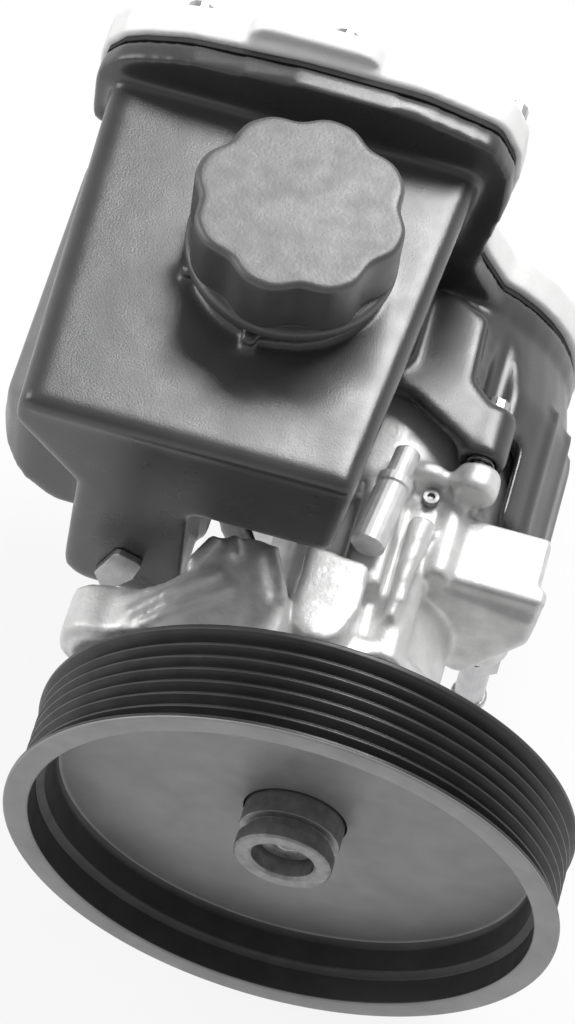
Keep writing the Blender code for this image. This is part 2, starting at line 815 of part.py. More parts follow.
def upper_arm_outline(growth=0.0):
    """The thick left arm seen from the front, its upper side raised by a growth."""
    x, z = EARS[0]
    return [(x - 10, z + 6 + growth, 4), (x + 2, z + 14 + growth, 6), (-44, ARM_TOP + growth, 8),
            (-12, ARM_TOP + growth, 7), (-11, 12, 3), (-40, 2, 8), (x, z - 4, 6)]


def strip(start, end, width, end_r):
    """Outline of a straight strip between two points of a plan."""
    along = (Vector(end) - Vector(start)).normalized()
    side = Vector((-along.y, along.x)) * (width / 2)
    corners = [Vector(start) + side, Vector(end) + side, Vector(end) - side, Vector(start) - side]
    return rounded([(*corner, end_r) for corner in corners], 2)


def make_upper_arm(housing):
    """The arm's plan from above, kept inside its outline from the front, with ridges along it."""
    plan = [(-68, ARM_Y + 0.6, 1), (-64, 42, 3), (-57, 47, 4), (-46, 52, 4), (-42.5, 56, 2), (-40, 62, 2),
            (-37, 68, 2.5), (-25, 71, 3), (-19, 60, 6), (-13, 50, 4), (-12.5, ARM_Y + 0.6, 1)]
    arm = slab("arm", [rounded(plan, 3)], 0, ARM_TOP + 10, along="Z")
    join(housing, keep_inside(arm, slab("keep", [rounded(upper_arm_outline(), 3)], ARM_Y - 5, 80)))
    ridges = (((-54, 40), (-34, 57), 2.4), ((-50, 37.4), (-30, 54), 2.2), ((-42, 57), (-37.5, 67), 3.2),
              ((-31, 62), (-33.5, 69), 2.2), ((-17.5, 54), (-24, 68.5), 4.6))
    for start, end, width in ridges:
        ridge = slab("ridge", [strip(start, end, width, 0.9)], ARM_TOP / 2, ARM_TOP + 10, along="Z")
        join(housing, keep_inside(ridge, slab("keep", [rounded(upper_arm_outline(1.8), 3)], ARM_Y, 80)))


def make_ear_pads(housing):
    for x, z in EARS:
        join(housing, rod("pad", EAR_PAD_R, ARM_Y - EAR_PAD_PROUD, ARM_Y + 4, at=(x, 0, z), steps=20))
    for x, z in EARS:
        cut(housing, rod("hole", EAR_HOLE_R, ARM_Y - 8, ARM_Y + ARM_THICK + 8, at=(x, 0, z), steps=16))


def make_port_block(housing):
    """The block that takes the pressure union, with a plate on its front."""
    low = (BLOCK_LEFT + 9, BLOCK_LOW)
    body = [(BLOCK_LEFT - 9, BLOCK_TOP - 9, 0), (BLOCK_LEFT, BLOCK_TOP, 1.5), (BLOCK_RIGHT, BLOCK_TOP, 1.5),
            (BLOCK_RIGHT - 1, 8, 3), (*low, 4), (BLOCK_LEFT - 12, BLOCK_LOW + 4, 0)]
    join(housing, slab("block", [rounded(body, 3)], BLOCK_FRONT_Y + 2, BLOCK_BACK_Y))
    plate = [(BLOCK_LEFT - 3.4, BLOCK_TOP + 0.2, 1), (BLOCK_RIGHT + 2.2, BLOCK_TOP - 0.2, 1.5),
             (BLOCK_RIGHT + 0.5, 8, 3), (low[0], low[1] - 0.4, 3), (BLOCK_LEFT - 5, BLOCK_LOW + 7, 3)]
    join(housing, slab("plate", [rounded(plate, 3)], BLOCK_FRONT_Y, BLOCK_FRONT_Y + 5))
    face = [(BLOCK_LEFT - 4, BLOCK_TOP - 3.8, 1), (BLOCK_RIGHT + 0.8, BLOCK_TOP - 7.6, 1),
            (BLOCK_RIGHT - 0.4, 8.4, 3), (low[0], low[1] + 0.8, 3), (BLOCK_LEFT - 4, BLOCK_LOW + 8, 3)]
    join(housing, slab("face", [rounded(face, 3)], BLOCK_FRONT_Y - BLOCK_FACE_PROUD, BLOCK_FRONT_Y + 3))
    at = (PORT_X, PORT_Y, 0)
    join(housing, rod("port_boss", UNION_HEX_R + 0.6, BLOCK_LOW + 0.3, 8, at=at, along="Z", steps=20, bevel=0.8))


def make_top_ribs(housing):
    """The valve's barrel, the round ribs and the lobes on top of the casting."""
    at = (VALVE_X, 0, VALVE_Z)
    join(housing, rod("barrel", VALVE_BOSS_R, ARM_Y + 5, CORE_STEP_Y + 2, at=at, steps=16, bevel=0.8))
    tip = circle((VALVE_X - 1.2, RIB_TOP - 6.5), 1.7, 12)
    root = circle((VALVE_X + 0.3, RIB_TOP - 3.8), 3.8, 12)
    join(housing, loft("rib", tip, root, RIB_FRONT_Y, BLOCK_BACK_Y - 8))
    web = block("web", (VALVE_X - 1.6, RIB_FRONT_Y + 5, VALVE_Z), (VALVE_X + 1.6, BLOCK_BACK_Y - 8.6, RIB_TOP - 4))
    join(housing, web)
    second = rod("rib", 4.0, BLOCK_FRONT_Y - 1, CORE_STEP_Y + 2.5, at=(BLOCK_LEFT - 2.6, 0, BLOCK_TOP - 1), steps=16, bevel=1.2)
    join(housing, second)
    at = (POCKET_X - 1.2, 0, RIB_TOP - LOBE_R + 0.3)
    join(housing, rod("lobe", LOBE_R, POCKET_BACK_Y, LUG_FRONT_Y - 2.2, at=at, steps=20, bevel=1))
    at = (LUG_X + 0.4, 0, LUG_Z - 2.2)
    join(housing, rod("lobe", LOBE_R - 0.2, CORE_STEP_Y + 2.4, LUG_FRONT_Y - GAP, at=at, steps=20, bevel=1.4))
    between = [(POCKET_X + 1, 20, 0), (POCKET_X + 1, RIB_TOP - 2, 1), (LUG_X, LUG_Z + 1.6, 1), (LUG_X + 5, 20, 0)]
    join(housing, slab("between", [rounded(between, 2)], POCKET_BACK_Y + 0.5, LUG_FRONT_Y - 3.6))


def make_front_boss(housing):
    """Rounded bright boss in front of the reservoir, and the saddle behind it under the sleeve."""
    plan = [(-15.2, 74, 1.5), (1.8, 72.5, 2), (2, 58, 4), (-1.5, 47.6, 6), (-12, 47, 6), (-14.6, 58, 4)]
    boss = slab("boss", [rounded(plan, 3)], 12, RIB_TOP + 1, along="Z")
    soften(boss, 3.4, 2)
    join(housing, boss)
    top = SLEEVE_Z - SLEEVE_R - GAP
    saddle = block("saddle", (-5.6, 70, 14), (5.4, CORE_STEP_Y + 2.2, top))
    join(housing, saddle)


def cut_housing_bores(housing):
    bore_back = VALVE_FRONT_Y + VALVE_DEPTH
    at = (VALVE_X, 0, VALVE_Z)
    cut(housing, rod("valve_bore", VALVE_BORE_R, VALVE_FRONT_Y - 4, bore_back, at=at, steps=16))
    cut(housing, rod("way_in", VALVE_BOSS_R + 1.1, ARM_Y - 2, VALVE_FRONT_Y, at=at, steps=20))
    at = (PORT_X, PORT_Y, 0)
    cut(housing, rod("port", PORT_R + 1 + GAP, BLOCK_LOW - 2, BLOCK_LOW + 16, at=at, along="Z", steps=16))
    at = (LUG_X, 0, LUG_Z)
    cut(housing, rod("bolt_hole", LUG_BOLT_R + GAP, bolt_tip() - 0.6, LUG_FRONT_Y + 3, at=at, steps=12))
    cut(housing, block("pocket", (POCKET_X - 5.3, CORE_STEP_Y - 1, POCKET_FLOOR), (POCKET_X + 4.7, POCKET_BACK_Y, 60)))
    at = (*pocket_screw_place(), 0)
    cut(housing, rod("screw_hole", 1.2 + GAP, POCKET_FLOOR - 9, POCKET_FLOOR + 2, at=at, along="Z", steps=10))


def bolt_tip():
    return CORE_STEP_Y + 5


def pocket_screw_place():
    return POCKET_X + 0.5, POCKET_BACK_Y - 3


def make_housing():
    housing = turned("pump_housing", core_profile(), "cast_aluminium", steps=32)
    join(housing, slab("arms", [rounded(arm_outline(), 3)], ARM_Y, ARM_Y + EAR_THICK))
    join(housing, rod("hub", CORE_FRONT_R + 4, ARM_Y + 3, ARM_Y + ARM_THICK, at=(0, 0, 0), steps=28, bevel=2))
    make_upper_arm(housing)
    make_port_block(housing)
    make_top_ribs(housing)
    make_front_boss(housing)
    make_ear_pads(housing)
    cut(housing, turned("bores", bore_profile(), steps=32))
    cut_housing_bores(housing)
    return housing


# Flow valve and ports

def make_valve():
    at = (VALVE_X, 0, VALVE_Z)
    head_front = VALVE_FRONT_Y - GAP - PLUG_HEAD
    plug = slab("valve_plug", [circle((0, 0), VALVE_BOSS_R - 0.4, 6)], head_front, head_front + PLUG_HEAD, "steel", at=at)
    shank_end = VALVE_FRONT_Y + PLUG_INSIDE
    join(plug, rod("shank", VALVE_BORE_R - GAP, head_front + 1, shank_end, at=at, steps=12, bevel=0.6))
    spool_front = VALVE_FRONT_Y + PLUG_INSIDE + GAP
    reach = VALVE_BORE_R - GAP
    waist = reach - SPOOL_WAIST_DEPTH
    back = spool_front + SPOOL_LENGTH
    profile = [(0, back), (reach, back), (reach, back - 4.5), (waist, back - 5.5), (waist, spool_front + 5.5)]
    profile += [(reach, spool_front + 4.5), (reach, spool_front), (0, spool_front)]
    spool = turned("flow_valve_spool", profile, "steel", at=at, steps=16)
    wound_r = reach - SPRING_WIRE_R - 0.1
    bore_end = VALVE_FRONT_Y + VALVE_DEPTH
    spring = coil("valve_spring", wound_r, SPRING_WIRE_R, back + GAP, bore_end - GAP, SPRING_TURNS, at)
    return plug, spool, spring


def coil(name, middle_r, wire_r, low, high, turns, at):
    """A helical spring along Y as a bevelled curve."""
    curve = bpy.data.curves.new(name, "CURVE")
    curve.dimensions = "3D"
    curve.bevel_depth = wire_r * MM
    curve.bevel_resolution = 1
    curve.use_fill_caps = True
    steps = turns * 9
    spline = curve.splines.new("POLY")
    spline.points.add(steps)
    first = low + wire_r
    rise = high - low - 2 * wire_r
    for step, point in enumerate(spline.points):
        angle = 2 * math.pi * turns * step / steps
        y = first + rise * step / steps
        point.co = (middle_r * math.cos(angle) * MM, y * MM, middle_r * math.sin(angle) * MM, 1)
    guide = bpy.data.objects.new(name, curve)
    PARTS.objects.link(guide)
    mesh = evaluated_mesh(guide)
    bpy.data.objects.remove(guide)
    return placed(name, mesh, "steel", at)


def make_pressure_union():
    """Hexagonal union that screws up into the block's underside, with a pipe's seat at its end."""
    at = (PORT_X, PORT_Y, 0)
    seat = BLOCK_LOW + 0.3 - GAP
    hexagon = circle((0, 0), UNION_HEX_R, 6, math.pi / 6)
    union = slab("pressure_union", [hexagon], seat - 6, seat, "steel", "Z", at)
    join(union, rod("pipe", UNION_PIPE_R, UNION_END_Z + 1, seat - 5, at=at, along="Z", steps=20))
    join(union, rod("collar", UNION_COLLAR_R, UNION_END_Z, UNION_END_Z + 3, at=at, along="Z", steps=20, bevel=0.6))
    join(union, rod("shank", PORT_R + 1, seat - 1, seat + 12, at=at, along="Z", steps=16))
    cut(union, rod("bore", PORT_R, UNION_END_Z - 2, seat + 16, at=at, along="Z", steps=16))
    return union


# Reservoir

def box_outline(left, right, top=BOX_TOP):
    """The box with its chamfer and leg, seen from the front, clockwise from the top left."""
    return [
        (left, top, EDGE_R), (right, top, EDGE_R), (right - 3.5, BOX_FLOOR, 2.5),
        (LEG_RIGHT, BOX_FLOOR, 3.5), (LEG_RIGHT + 1, LEG_FLOOR, 5.0), (LEG_LEFT, LEG_FLOOR + 1, 7.0),
        (LEG_LEFT + 1.5, CHAMFER_LOW, 3.0), (left - 1.0, CHAMFER_TOP, 4.0),
    ]


def tank_outline():
    """The wider tank behind the leg, reaching down beside the pump."""
    return [
        (BOX_FAR_LEFT + 2, TANK_TOP, 2), (LEG_RIGHT + 3, TANK_TOP, 1), (LEG_RIGHT + 3, LEG_FLOOR + 2, 3),
        (LEG_LEFT - 8, LEG_FLOOR + 2, 6), (TANK_LEFT, LEG_FLOOR + 16, 12), (TANK_LEFT + 1, 48, 10),
    ]


def tank_body(name, by, front, back):
    """The tank, its walls moved inwards and its front left corner rounded in plan."""
    body = slab(name, [rounded(inset(tank_outline(), by) if by else tank_outline(), 3)], front, back)
    corner = (TANK_LEFT + by, front - 1, TANK_CORNER_R - by)
    plan = [(TANK_LEFT + by, back + 2, 0), (0, back + 2, 0), (0, front - 1, 0), corner]
    return keep_inside(body, slab("plan", [rounded(plan, 5)], -50, 100, along="Z"))


def flange_outline():
    """The seam flange seen from the front, clockwise from the top left, without the barrel's arc."""
    return [
        (FLANGE_LEFT, FLANGE_TOP - 5, FLANGE_CORNER_R), (-78, FLANGE_TOP + 2, 20), (-48, FLANGE_TOP + 4.8, 30),
        (-16, FLANGE_TOP + 4.6, 30), (FLANGE_RIGHT - 6, FLANGE_TOP - 0.5, 7), (FLANGE_RIGHT - 0.6, FLANGE_TOP - 11, 8),
        (FLANGE_RIGHT, 80, 16), (WAIST_X, WAIST_Z, 10), (19, 29, 2), (30, 8, 1), (26, -26, 1), (-26, -26, 1),
        (-36, 1, 4), (-62, 3, 12), (-96, 4, 12), (TANK_LEFT - 2, 19, 10), (TANK_LEFT + 2, 36, 16),
        (TANK_LEFT + 5.4, 56, 8), (TANK_LEFT + 6.4, 67, 1.5), (FLANGE_LEFT, 71, 2.5),
    ]


def flange_body(name, low, high, by=0.0, round_r=BARREL_END_R + 0.5, ear_r=0.0, slot=None):
    """The flange's plan as a solid: its outline moved inwards, the barrel's round and two ears."""
    body = slab(name, [rounded(inset(flange_outline(), by), 3)], low - 1, high + 1, slot)
    join(body, rod("round", round_r, low - 1.7, high + 1.7, at=(0, 0, -BARREL_DROP), steps=36))
    if ear_r:
        for x, z in ear_screw_places():
            join(body, rod("ear", ear_r, low - 2.4, high + 2.4, at=(x, 0, z), steps=16))
    return keep_inside(body, block("between", (-200, low, -200), (200, high, 200)))


def make_neck(body):
    at = (CAP_X, CAP_Y, 0)
    join(body, rod("neck", NECK_R, BOX_TOP - 1, NECK_TOP, at=at, along="Z", steps=28))
    join(body, rod("collar", COLLAR_R, COLLAR_Z, COLLAR_Z + COLLAR_THICK, at=at, along="Z", steps=28))
    for angle in (205.0, 262.0):
        reach = CAP_R + 1.4
        tab = block("tab", (19, -2.4, COLLAR_Z + 0.5), (reach, 2.4, COLLAR_Z + COLLAR_THICK - 0.5))
        tab.data.transform(Matrix.Rotation(math.radians(angle), 4, "Z"))
        tab.location = Vector(at) * MM
        join(body, tab)
    cut(body, rod("mouth", NECK_R - NECK_WALL, BOX_TOP - 8, NECK_TOP + 4, at=at, along="Z", steps=28))


def make_lug(body):
    """Shelf and lug that reach out over the pump on the right."""
    plan = [(-6, 123, 0), (-2, 123, 1), (LUG_X - 4, LUG_FRONT_Y + 0.5, 1), (LUG_X, SADDLE_Y + 1, 2),
            (14.5, 132, 3), (13.5, 152, 1.5), (4.5, 156.5, 1), (-6, 157, 0)]
    join(body, slab("shelf", [rounded(plan, 3)], SHELF_TOP - SHELF_THICK, SHELF_TOP, along="Z"))
    join(body, rod("lug", LUG_R, LUG_FRONT_Y, LUG_BACK_Y, at=(LUG_X, 0, LUG_Z), steps=20))
    riser = [(-9, SADDLE_Y + 1), (-3.4, 132), (-3.4, 164), (-9, 164)]
    join(body, slab("riser", [[Vector(p) for p in riser]], SHELF_TOP - 3, BOX_FLOOR + 4, along="Z"))
    head_room = rod("head_room", LUG_BOLT_HEAD_R + 0.8, LUG_BACK_Y, FLANGE_Y - 4, at=(LUG_X, 0, LUG_Z), steps=16)
    cut(body, head_room)
    cut(body, rod("lug_hole", LUG_BUSH_R + GAP, LUG_FRONT_Y - 2, LUG_BACK_Y + 2, at=(LUG_X, 0, LUG_Z), steps=16))


def make_barrel(body):
    """Barrel round the pump, with ribs along it on the right."""
    at = (0, 0, -BARREL_DROP)
    profile = [(0, FLANGE_Y + 2), (BARREL_END_R, FLANGE_Y + 2), (BARREL_END_R, FLANGE_Y - 2)]
    profile += [(BARREL_R, BARREL_TAPER_Y), (BARREL_R, BARREL_Y + 1), (BARREL_R - 1, BARREL_Y), (0, BARREL_Y)]
    join(body, turned("barrel", profile, at=at, steps=36))
    bay = block("bay", (LEG_RIGHT + 4.2, BARREL_Y - 3, 15), (LUG_X + 8.3, SADDLE_Y, BOX_FLOOR - 0.5))
    cut(body, bay)
    saddle = [(LEG_RIGHT - 6, 50, 0), (-12, 50, 0), (-12, 20, 0), (-30, -10, 0), (LEG_RIGHT - 6, LEG_FLOOR + 3, 0)]
    join(body, slab("saddle", [rounded(saddle)], SADDLE_Y + 0.6, FLANGE_Y + 2.5))
    upper = [(-30, BOX_FLOOR + 3, 0), (-8, BOX_FLOOR + 3, 0), (-6, 30, 0), (-30, 30, 0)]
    join(body, slab("upper", [rounded(upper)], SADDLE_Y + 3, FLANGE_Y + 3))
    for index in range(BARREL_RIBS):
        angle = math.radians(-28 + 15 * index)
        rib = block("rib", (BARREL_R - 6, BARREL_Y + 3, -0.9), (BARREL_R + 0.8, BARREL_TAPER_Y + 6, 0.9))
        rib.data.transform(Matrix.Rotation(-angle, 4, "Y"))
        rib.location = Vector(at) * MM
        join(body, rib)


def hollow_reservoir(body):
    """The fluid space, open at the flange's back, and the tunnel that takes the pump."""
    back = FLANGE_Y + FLANGE_THICK + 2
    near = inset(box_outline(BOX_NEAR_LEFT, BOX_NEAR_RIGHT), WALL)
    far = inset(box_outline(BOX_FAR_LEFT, BOX_FAR_RIGHT), WALL)
    cut(body, loft("space", rounded(near, 3), rounded(far, 3), BOX_NEAR_Y + WALL, back))
    cut(body, tank_body("tank_space", WALL, TANK_Y + WALL, FLANGE_Y - 4))
    mouth = inset(tank_outline(), COVER_RIM - 1)
    cut(body, slab("tank_mouth", [rounded(mouth, 3)], FLANGE_Y - 5, back + 0.4))
    cut(body, rod("tunnel", TUNNEL_R, BARREL_Y - 2, back + 0.7, steps=36))


def make_front_bead(body):
    """Raised bead along the box's upper front edge."""
    reach = (BOX_NEAR_LEFT + 3, BOX_NEAR_RIGHT - 1)
    bead = rod("bead", 1.3, reach[0], reach[1], at=(0, BOX_NEAR_Y + 0.7, BOX_TOP - 3.2), along="X", steps=10, bevel=0.5)
    join(body, bead)


def make_reservoir():
    near = box_outline(BOX_NEAR_LEFT, BOX_NEAR_RIGHT)
    far = box_outline(BOX_FAR_LEFT, BOX_FAR_RIGHT)
    body = loft("reservoir_body", rounded(near, 3), rounded(far, 3), BOX_NEAR_Y, FLANGE_Y + 1, "black_plastic")
    soften(body, 1.6, 2)
    make_front_bead(body)
    join(body, tank_body("tank", 0, TANK_Y, FLANGE_Y + 1.5))
    make_barrel(body)
    make_lug(body)
    join(body, flange_body("flange", FLANGE_Y, FLANGE_Y + FLANGE_THICK, ear_r=FLANGE_EAR_R))
    hollow_reservoir(body)
    make_neck(body)
    return body


def make_gasket():
    """Flat gasket between the seam flange and the cover."""
    low = FLANGE_Y + FLANGE_THICK + GAP
    high = low + GASKET_THICK
    outer_r = BARREL_END_R - 0.6
    gasket = flange_body("cover_gasket", low, high, 0.6, outer_r, FLANGE_EAR_R - 0.9, "rubber")
    inner_r = TUNNEL_R - 0.6
    return cut(gasket, flange_body("inside", low - 1, high + 1, COVER_RIM, inner_r))


def cover_screw_places():
    """Screws round the cover, in the middle of its rim and in the two ears."""
    rim = (COVER_RIM + COVER_SCREW_HEAD_R) / 2 - 0.6
    left = (FLANGE_LEFT + rim + 3, FLANGE_TOP - 15)
    right = (FLANGE_RIGHT - rim - 0.6, FLANGE_TOP - 10)
    waist = (WAIST_X - rim + 1.6, WAIST_Z + 9)
    return [left, (-78, FLANGE_TOP - rim + 0.5), (-40, FLANGE_TOP + 0.4), right, waist, (-70, 4 + rim)] + ear_screw_places()


def ear_screw_places():
    reach = BARREL_END_R + 2.6
    angle = math.radians(-51)
    return [(side * reach * math.cos(angle), reach * math.sin(angle) - BARREL_DROP) for side in (1, -1)]


def make_cover():
    """Light cast cover with a raised middle and screw bosses on its back."""
    low = FLANGE_Y + FLANGE_THICK + GASKET_THICK + 2 * GAP
    high = low + COVER_DEPTH
    round_r = BARREL_END_R + COVER_OUTSET + 0.5
    cover = flange_body("rear_cover", low, high, -COVER_OUTSET, round_r, FLANGE_EAR_R + 0.4, "light_casting")
    raised = [(-70, 88, 2), (-62, FLANGE_TOP + 10, 6), (-30, FLANGE_TOP + 10, 6), (-22, 88, 2)]
    join(cover, slab("raised", [rounded(raised, 3)], low + 2, high - 1.5))
    soften(cover, 1.8, 1)
    inner_r = BARREL_END_R - COVER_ROUND_INSET
    cut(cover, flange_body("inside", low - 5, high - COVER_WALL, COVER_RIM + 0.1, inner_r))
    return cover


def make_return_nipple(cover):
    """Hose nipple cast on the cover's back, with its barbs."""
    base = FLANGE_Y + FLANGE_THICK + GASKET_THICK + 2 * GAP + COVER_DEPTH
    end = base + NIPPLE_LENGTH
    at = (NIPPLE_X, 0, NIPPLE_Z)
    profile = [(0, end), (NIPPLE_R - 1, end)]
    for barb in range(2):
        top = end - 1 - 5 * barb
        profile += [(NIPPLE_R, top - 3), (NIPPLE_R - 0.9, top - 3.4)]
    profile += [(NIPPLE_R - 0.9, base + 3), (NIPPLE_R + 2, base - 1), (0, base - 1)]
    join(cover, turned("nipple", profile, at=at, steps=18))
    cut(cover, rod("nipple_bore", NIPPLE_BORE_R, base - COVER_WALL - 3, end + 2, at=at, steps=14))
    return cover


# Cap

def cap_outline(growth=0.0, steps=64):
    """Eight broad lobes with shallow scallops between them."""
    points = []
    for step in range(steps):
        angle = 2 * math.pi * step / steps
        wave = 0.5 - 0.5 * math.cos(CAP_LOBES * (angle - math.radians(CAP_LOBE_TURN)))
        radius = CAP_R + growth - CAP_LOBE_DEPTH * wave ** 1.6
        points.append(Vector((radius * math.cos(angle), radius * math.sin(angle))))
    return points


def make_cap():
    at = (CAP_X, CAP_Y, 0)
    cap = slab("filler_cap", [cap_outline()], CAP_LOW + CAP_RING - 1, CAP_TOP, "cap_plastic", "Z", at)
    soften(cap, 1.2, 2)
    join(cap, rod("ring", CAP_R - 1.0, CAP_LOW, CAP_LOW + CAP_RING, at=at, along="Z", steps=40, bevel=0.5))
    inside = CAP_TOP - CAP_ROOF
    cut(cap, rod("inside", NECK_R + GAP, CAP_LOW - 2, inside, at=at, along="Z", steps=32))
    stem_top = inside + 1.5
    join(cap, rod("stem", 5.2, NECK_TOP - 6, stem_top, at=at, along="Z", steps=16))
    return cap


def make_cap_seal():
    top = CAP_TOP - CAP_ROOF - GAP
    return ring("cap_seal", NECK_R - 0.2, NECK_R - 5.5, top - SEAL_THICK, top, "rubber", (CAP_X, CAP_Y, 0), "Z", 28)


def make_dipstick():
    """Flat stick that hangs from the cap's stem."""
    top = NECK_TOP - 6 - GAP
    half = DIPSTICK_WIDTH / 2
    corners = [(-half, top - DIPSTICK_LENGTH, 2.5), (-half, top, 0.8), (half, top, 0.8), (half, top - DIPSTICK_LENGTH, 2.5)]
    stick = slab("dipstick", [rounded(corners, 3)], -DIPSTICK_THICK / 2, DIPSTICK_THICK / 2, "steel",
                 at=(CAP_X, CAP_Y, 0))
    return stick


# Fasteners and small pieces

def screw(name, at, radius, head_r, head_low, head_high, tip, along="Y", recess=2.2):
    """A cap screw with a hexagonal socket; its head is at the tip's far side."""
    head = rod(name, head_r, min(head_low, head_high), max(head_low, head_high), "steel", at, along, 12)
    inner_end = head_low if abs(tip - head_low) < abs(tip - head_high) else head_high
    outer_end = head_high if inner_end == head_low else head_low
    into = 1 if tip > inner_end else -1
    ends = sorted((inner_end - into * 0.5, tip))
    join(head, rod("shank", radius, ends[0], ends[1], at=at, along=along, steps=8))
    ends = sorted((outer_end - into * 2, outer_end + into * recess))
    cut(head, slab("socket", [circle((0, 0), head_r * 0.5, 6)], ends[0], ends[1], along=along, at=at))
    return head


def make_cover_screws():
    """The cover's screws, their heads on its back."""
    low = FLANGE_Y + FLANGE_THICK + GASKET_THICK + 2 * GAP
    seat = low + COVER_DEPTH + GAP
    for index, (x, z) in enumerate(cover_screw_places()):
        name = "cover_screw_%02d" % (index + 1)
        screw(name, (x, 0, z), COVER_SCREW_R, COVER_SCREW_HEAD_R, seat, seat + COVER_SCREW_HEAD, FLANGE_Y + 2.4)


def drill_for_cover_screws(*pieces):
    low = FLANGE_Y + 1.4
    high = FLANGE_Y + FLANGE_THICK + COVER_DEPTH + 8
    for piece in pieces:
        for x, z in cover_screw_places():
            cut(piece, rod("drill", COVER_SCREW_R + GAP, low, high, at=(x, 0, z), steps=8))


def make_lug_fixings():
    at = (LUG_X, 0, LUG_Z)
    bush = ring("lug_bush", LUG_BUSH_R, LUG_BOLT_R + GAP, LUG_FRONT_Y, LUG_BACK_Y + 0.4, "steel", at, steps=20)
    seat = LUG_BACK_Y + 0.4 + GAP
    bolt = screw("reservoir_bolt", at, LUG_BOLT_R, LUG_BOLT_HEAD_R, seat, seat + 2.8, bolt_tip(), recess=1.8)
    return bush, bolt


def make_suction_ring():
    front, back, floor = suction_groove()
    wire_r = (TUNNEL_R - floor) / 2 - GAP
    return o_ring("suction_oring", (TUNNEL_R + floor) / 2, wire_r, (front + back) / 2, steps=32)


def make_sleeve():
    """Slim bright sleeve that lies on the casting beside the box."""
    collar = SLEEVE_BACK_Y - 12
    neck_r = SLEEVE_NECK_R
    profile = [(0, SLEEVE_BACK_Y), (neck_r - 0.6, SLEEVE_BACK_Y), (neck_r, SLEEVE_BACK_Y - 0.6), (neck_r, collar + 3)]
    profile += [(SLEEVE_R, collar + 2.4), (SLEEVE_R, collar), (SLEEVE_R - 0.5, collar - 0.5)]
    profile += [(SLEEVE_R - 0.2, collar - 2), (SLEEVE_R - 0.2, SLEEVE_FRONT_Y + 0.8)]
    profile += [(SLEEVE_R - 1, SLEEVE_FRONT_Y), (0, SLEEVE_FRONT_Y)]
    sleeve = turned("locating_sleeve", profile, "steel", (SLEEVE_X, 0, SLEEVE_Z), steps=20)
    sleeve.data.transform(Matrix.Rotation(-math.radians(SLEEVE_TURN), 4, "Z"))
    return sleeve


def make_pocket_screw():
    """Small bright screw in the pocket between the ribs."""
    at = (*pocket_screw_place(), 0)
    seat = POCKET_FLOOR + GAP
    return screw("pocket_screw", at, 1.2, 2.2, seat, seat + 1.9, POCKET_FLOOR - 8, along="Z", recess=1.0)


def make_leg_clip():
    """Light spring clip that hooks over the leg's foot."""
    x = (LEG_LEFT + LEG_RIGHT) / 2
    z = LEG_FLOOR + 12
    outline = [(x - 6, z - 2, 1.5), (x - 4, z + 3, 1), (x - 1, z + 10.5, 2), (x + 6, z + 7.5, 1.5),
               (x + 4, z - 0.5, 1.5), (x - 3, z - 10.5, 2)]
    front = BOX_NEAR_Y - GAP - 1.8
    return slab("leg_clip", [rounded(outline, 3)], front, front + 1.8, "steel")


def main():
    make_pulley()
    make_pulley_hub()
    make_drive_shaft()
    make_shaft_clip()
    make_rotor()
    for index in range(VANES):
        make_vane(index)
    make_cam_ring()
    make_pressure_plate("front_pressure_plate", "front_plate", SHAFT_JOURNAL_R + 0.6)
    make_pressure_plate("rear_pressure_plate", "rear_plate", SHAFT_TAIL_R + GAP)
    make_dowels()
    make_plate_spring()
    make_end_cover()
    make_end_cover_ring()
    make_end_cover_clip()
    make_shaft_seal()
    front_bush, back_bush = bush_places()
    make_bush("front_bush", front_bush)
    make_bush("rear_bush", back_bush)
    make_housing()
    make_valve()
    make_pressure_union()
    body = make_reservoir()
    gasket = make_gasket()
    cover = make_return_nipple(make_cover())
    drill_for_cover_screws(body, gasket, cover)
    make_cover_screws()
    make_cap()
    make_cap_seal()
    make_dipstick()
    make_lug_fixings()
    make_suction_ring()
    make_sleeve()
    make_leg_clip()
    make_pocket_screw()


main()
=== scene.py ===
"""Looks of the power steering pump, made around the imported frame."""
import json
import math

import bmesh
import bpy
from mathutils import Matrix, Vector


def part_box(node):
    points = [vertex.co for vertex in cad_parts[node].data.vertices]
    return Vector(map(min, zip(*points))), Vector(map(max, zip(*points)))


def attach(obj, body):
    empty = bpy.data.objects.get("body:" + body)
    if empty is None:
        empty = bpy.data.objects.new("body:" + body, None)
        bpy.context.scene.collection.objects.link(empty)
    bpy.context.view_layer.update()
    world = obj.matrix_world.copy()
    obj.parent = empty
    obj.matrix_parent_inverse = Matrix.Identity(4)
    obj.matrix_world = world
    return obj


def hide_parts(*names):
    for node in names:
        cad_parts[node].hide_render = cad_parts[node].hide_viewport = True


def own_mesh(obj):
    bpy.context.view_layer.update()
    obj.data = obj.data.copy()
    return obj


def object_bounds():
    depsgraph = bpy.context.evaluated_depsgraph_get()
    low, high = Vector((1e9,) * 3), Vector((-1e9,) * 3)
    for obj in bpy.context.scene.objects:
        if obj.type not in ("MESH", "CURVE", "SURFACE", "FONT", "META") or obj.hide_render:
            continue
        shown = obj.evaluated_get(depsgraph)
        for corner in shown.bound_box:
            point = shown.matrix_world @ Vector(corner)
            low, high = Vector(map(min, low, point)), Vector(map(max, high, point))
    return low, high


MM = 0.001

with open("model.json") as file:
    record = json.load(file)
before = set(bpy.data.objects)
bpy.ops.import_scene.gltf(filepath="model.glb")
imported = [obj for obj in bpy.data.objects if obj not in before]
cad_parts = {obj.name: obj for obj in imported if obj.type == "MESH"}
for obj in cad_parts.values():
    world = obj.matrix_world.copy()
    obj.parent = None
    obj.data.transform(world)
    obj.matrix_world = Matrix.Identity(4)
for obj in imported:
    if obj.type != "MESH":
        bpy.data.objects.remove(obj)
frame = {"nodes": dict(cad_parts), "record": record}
cad_low, cad_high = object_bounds()

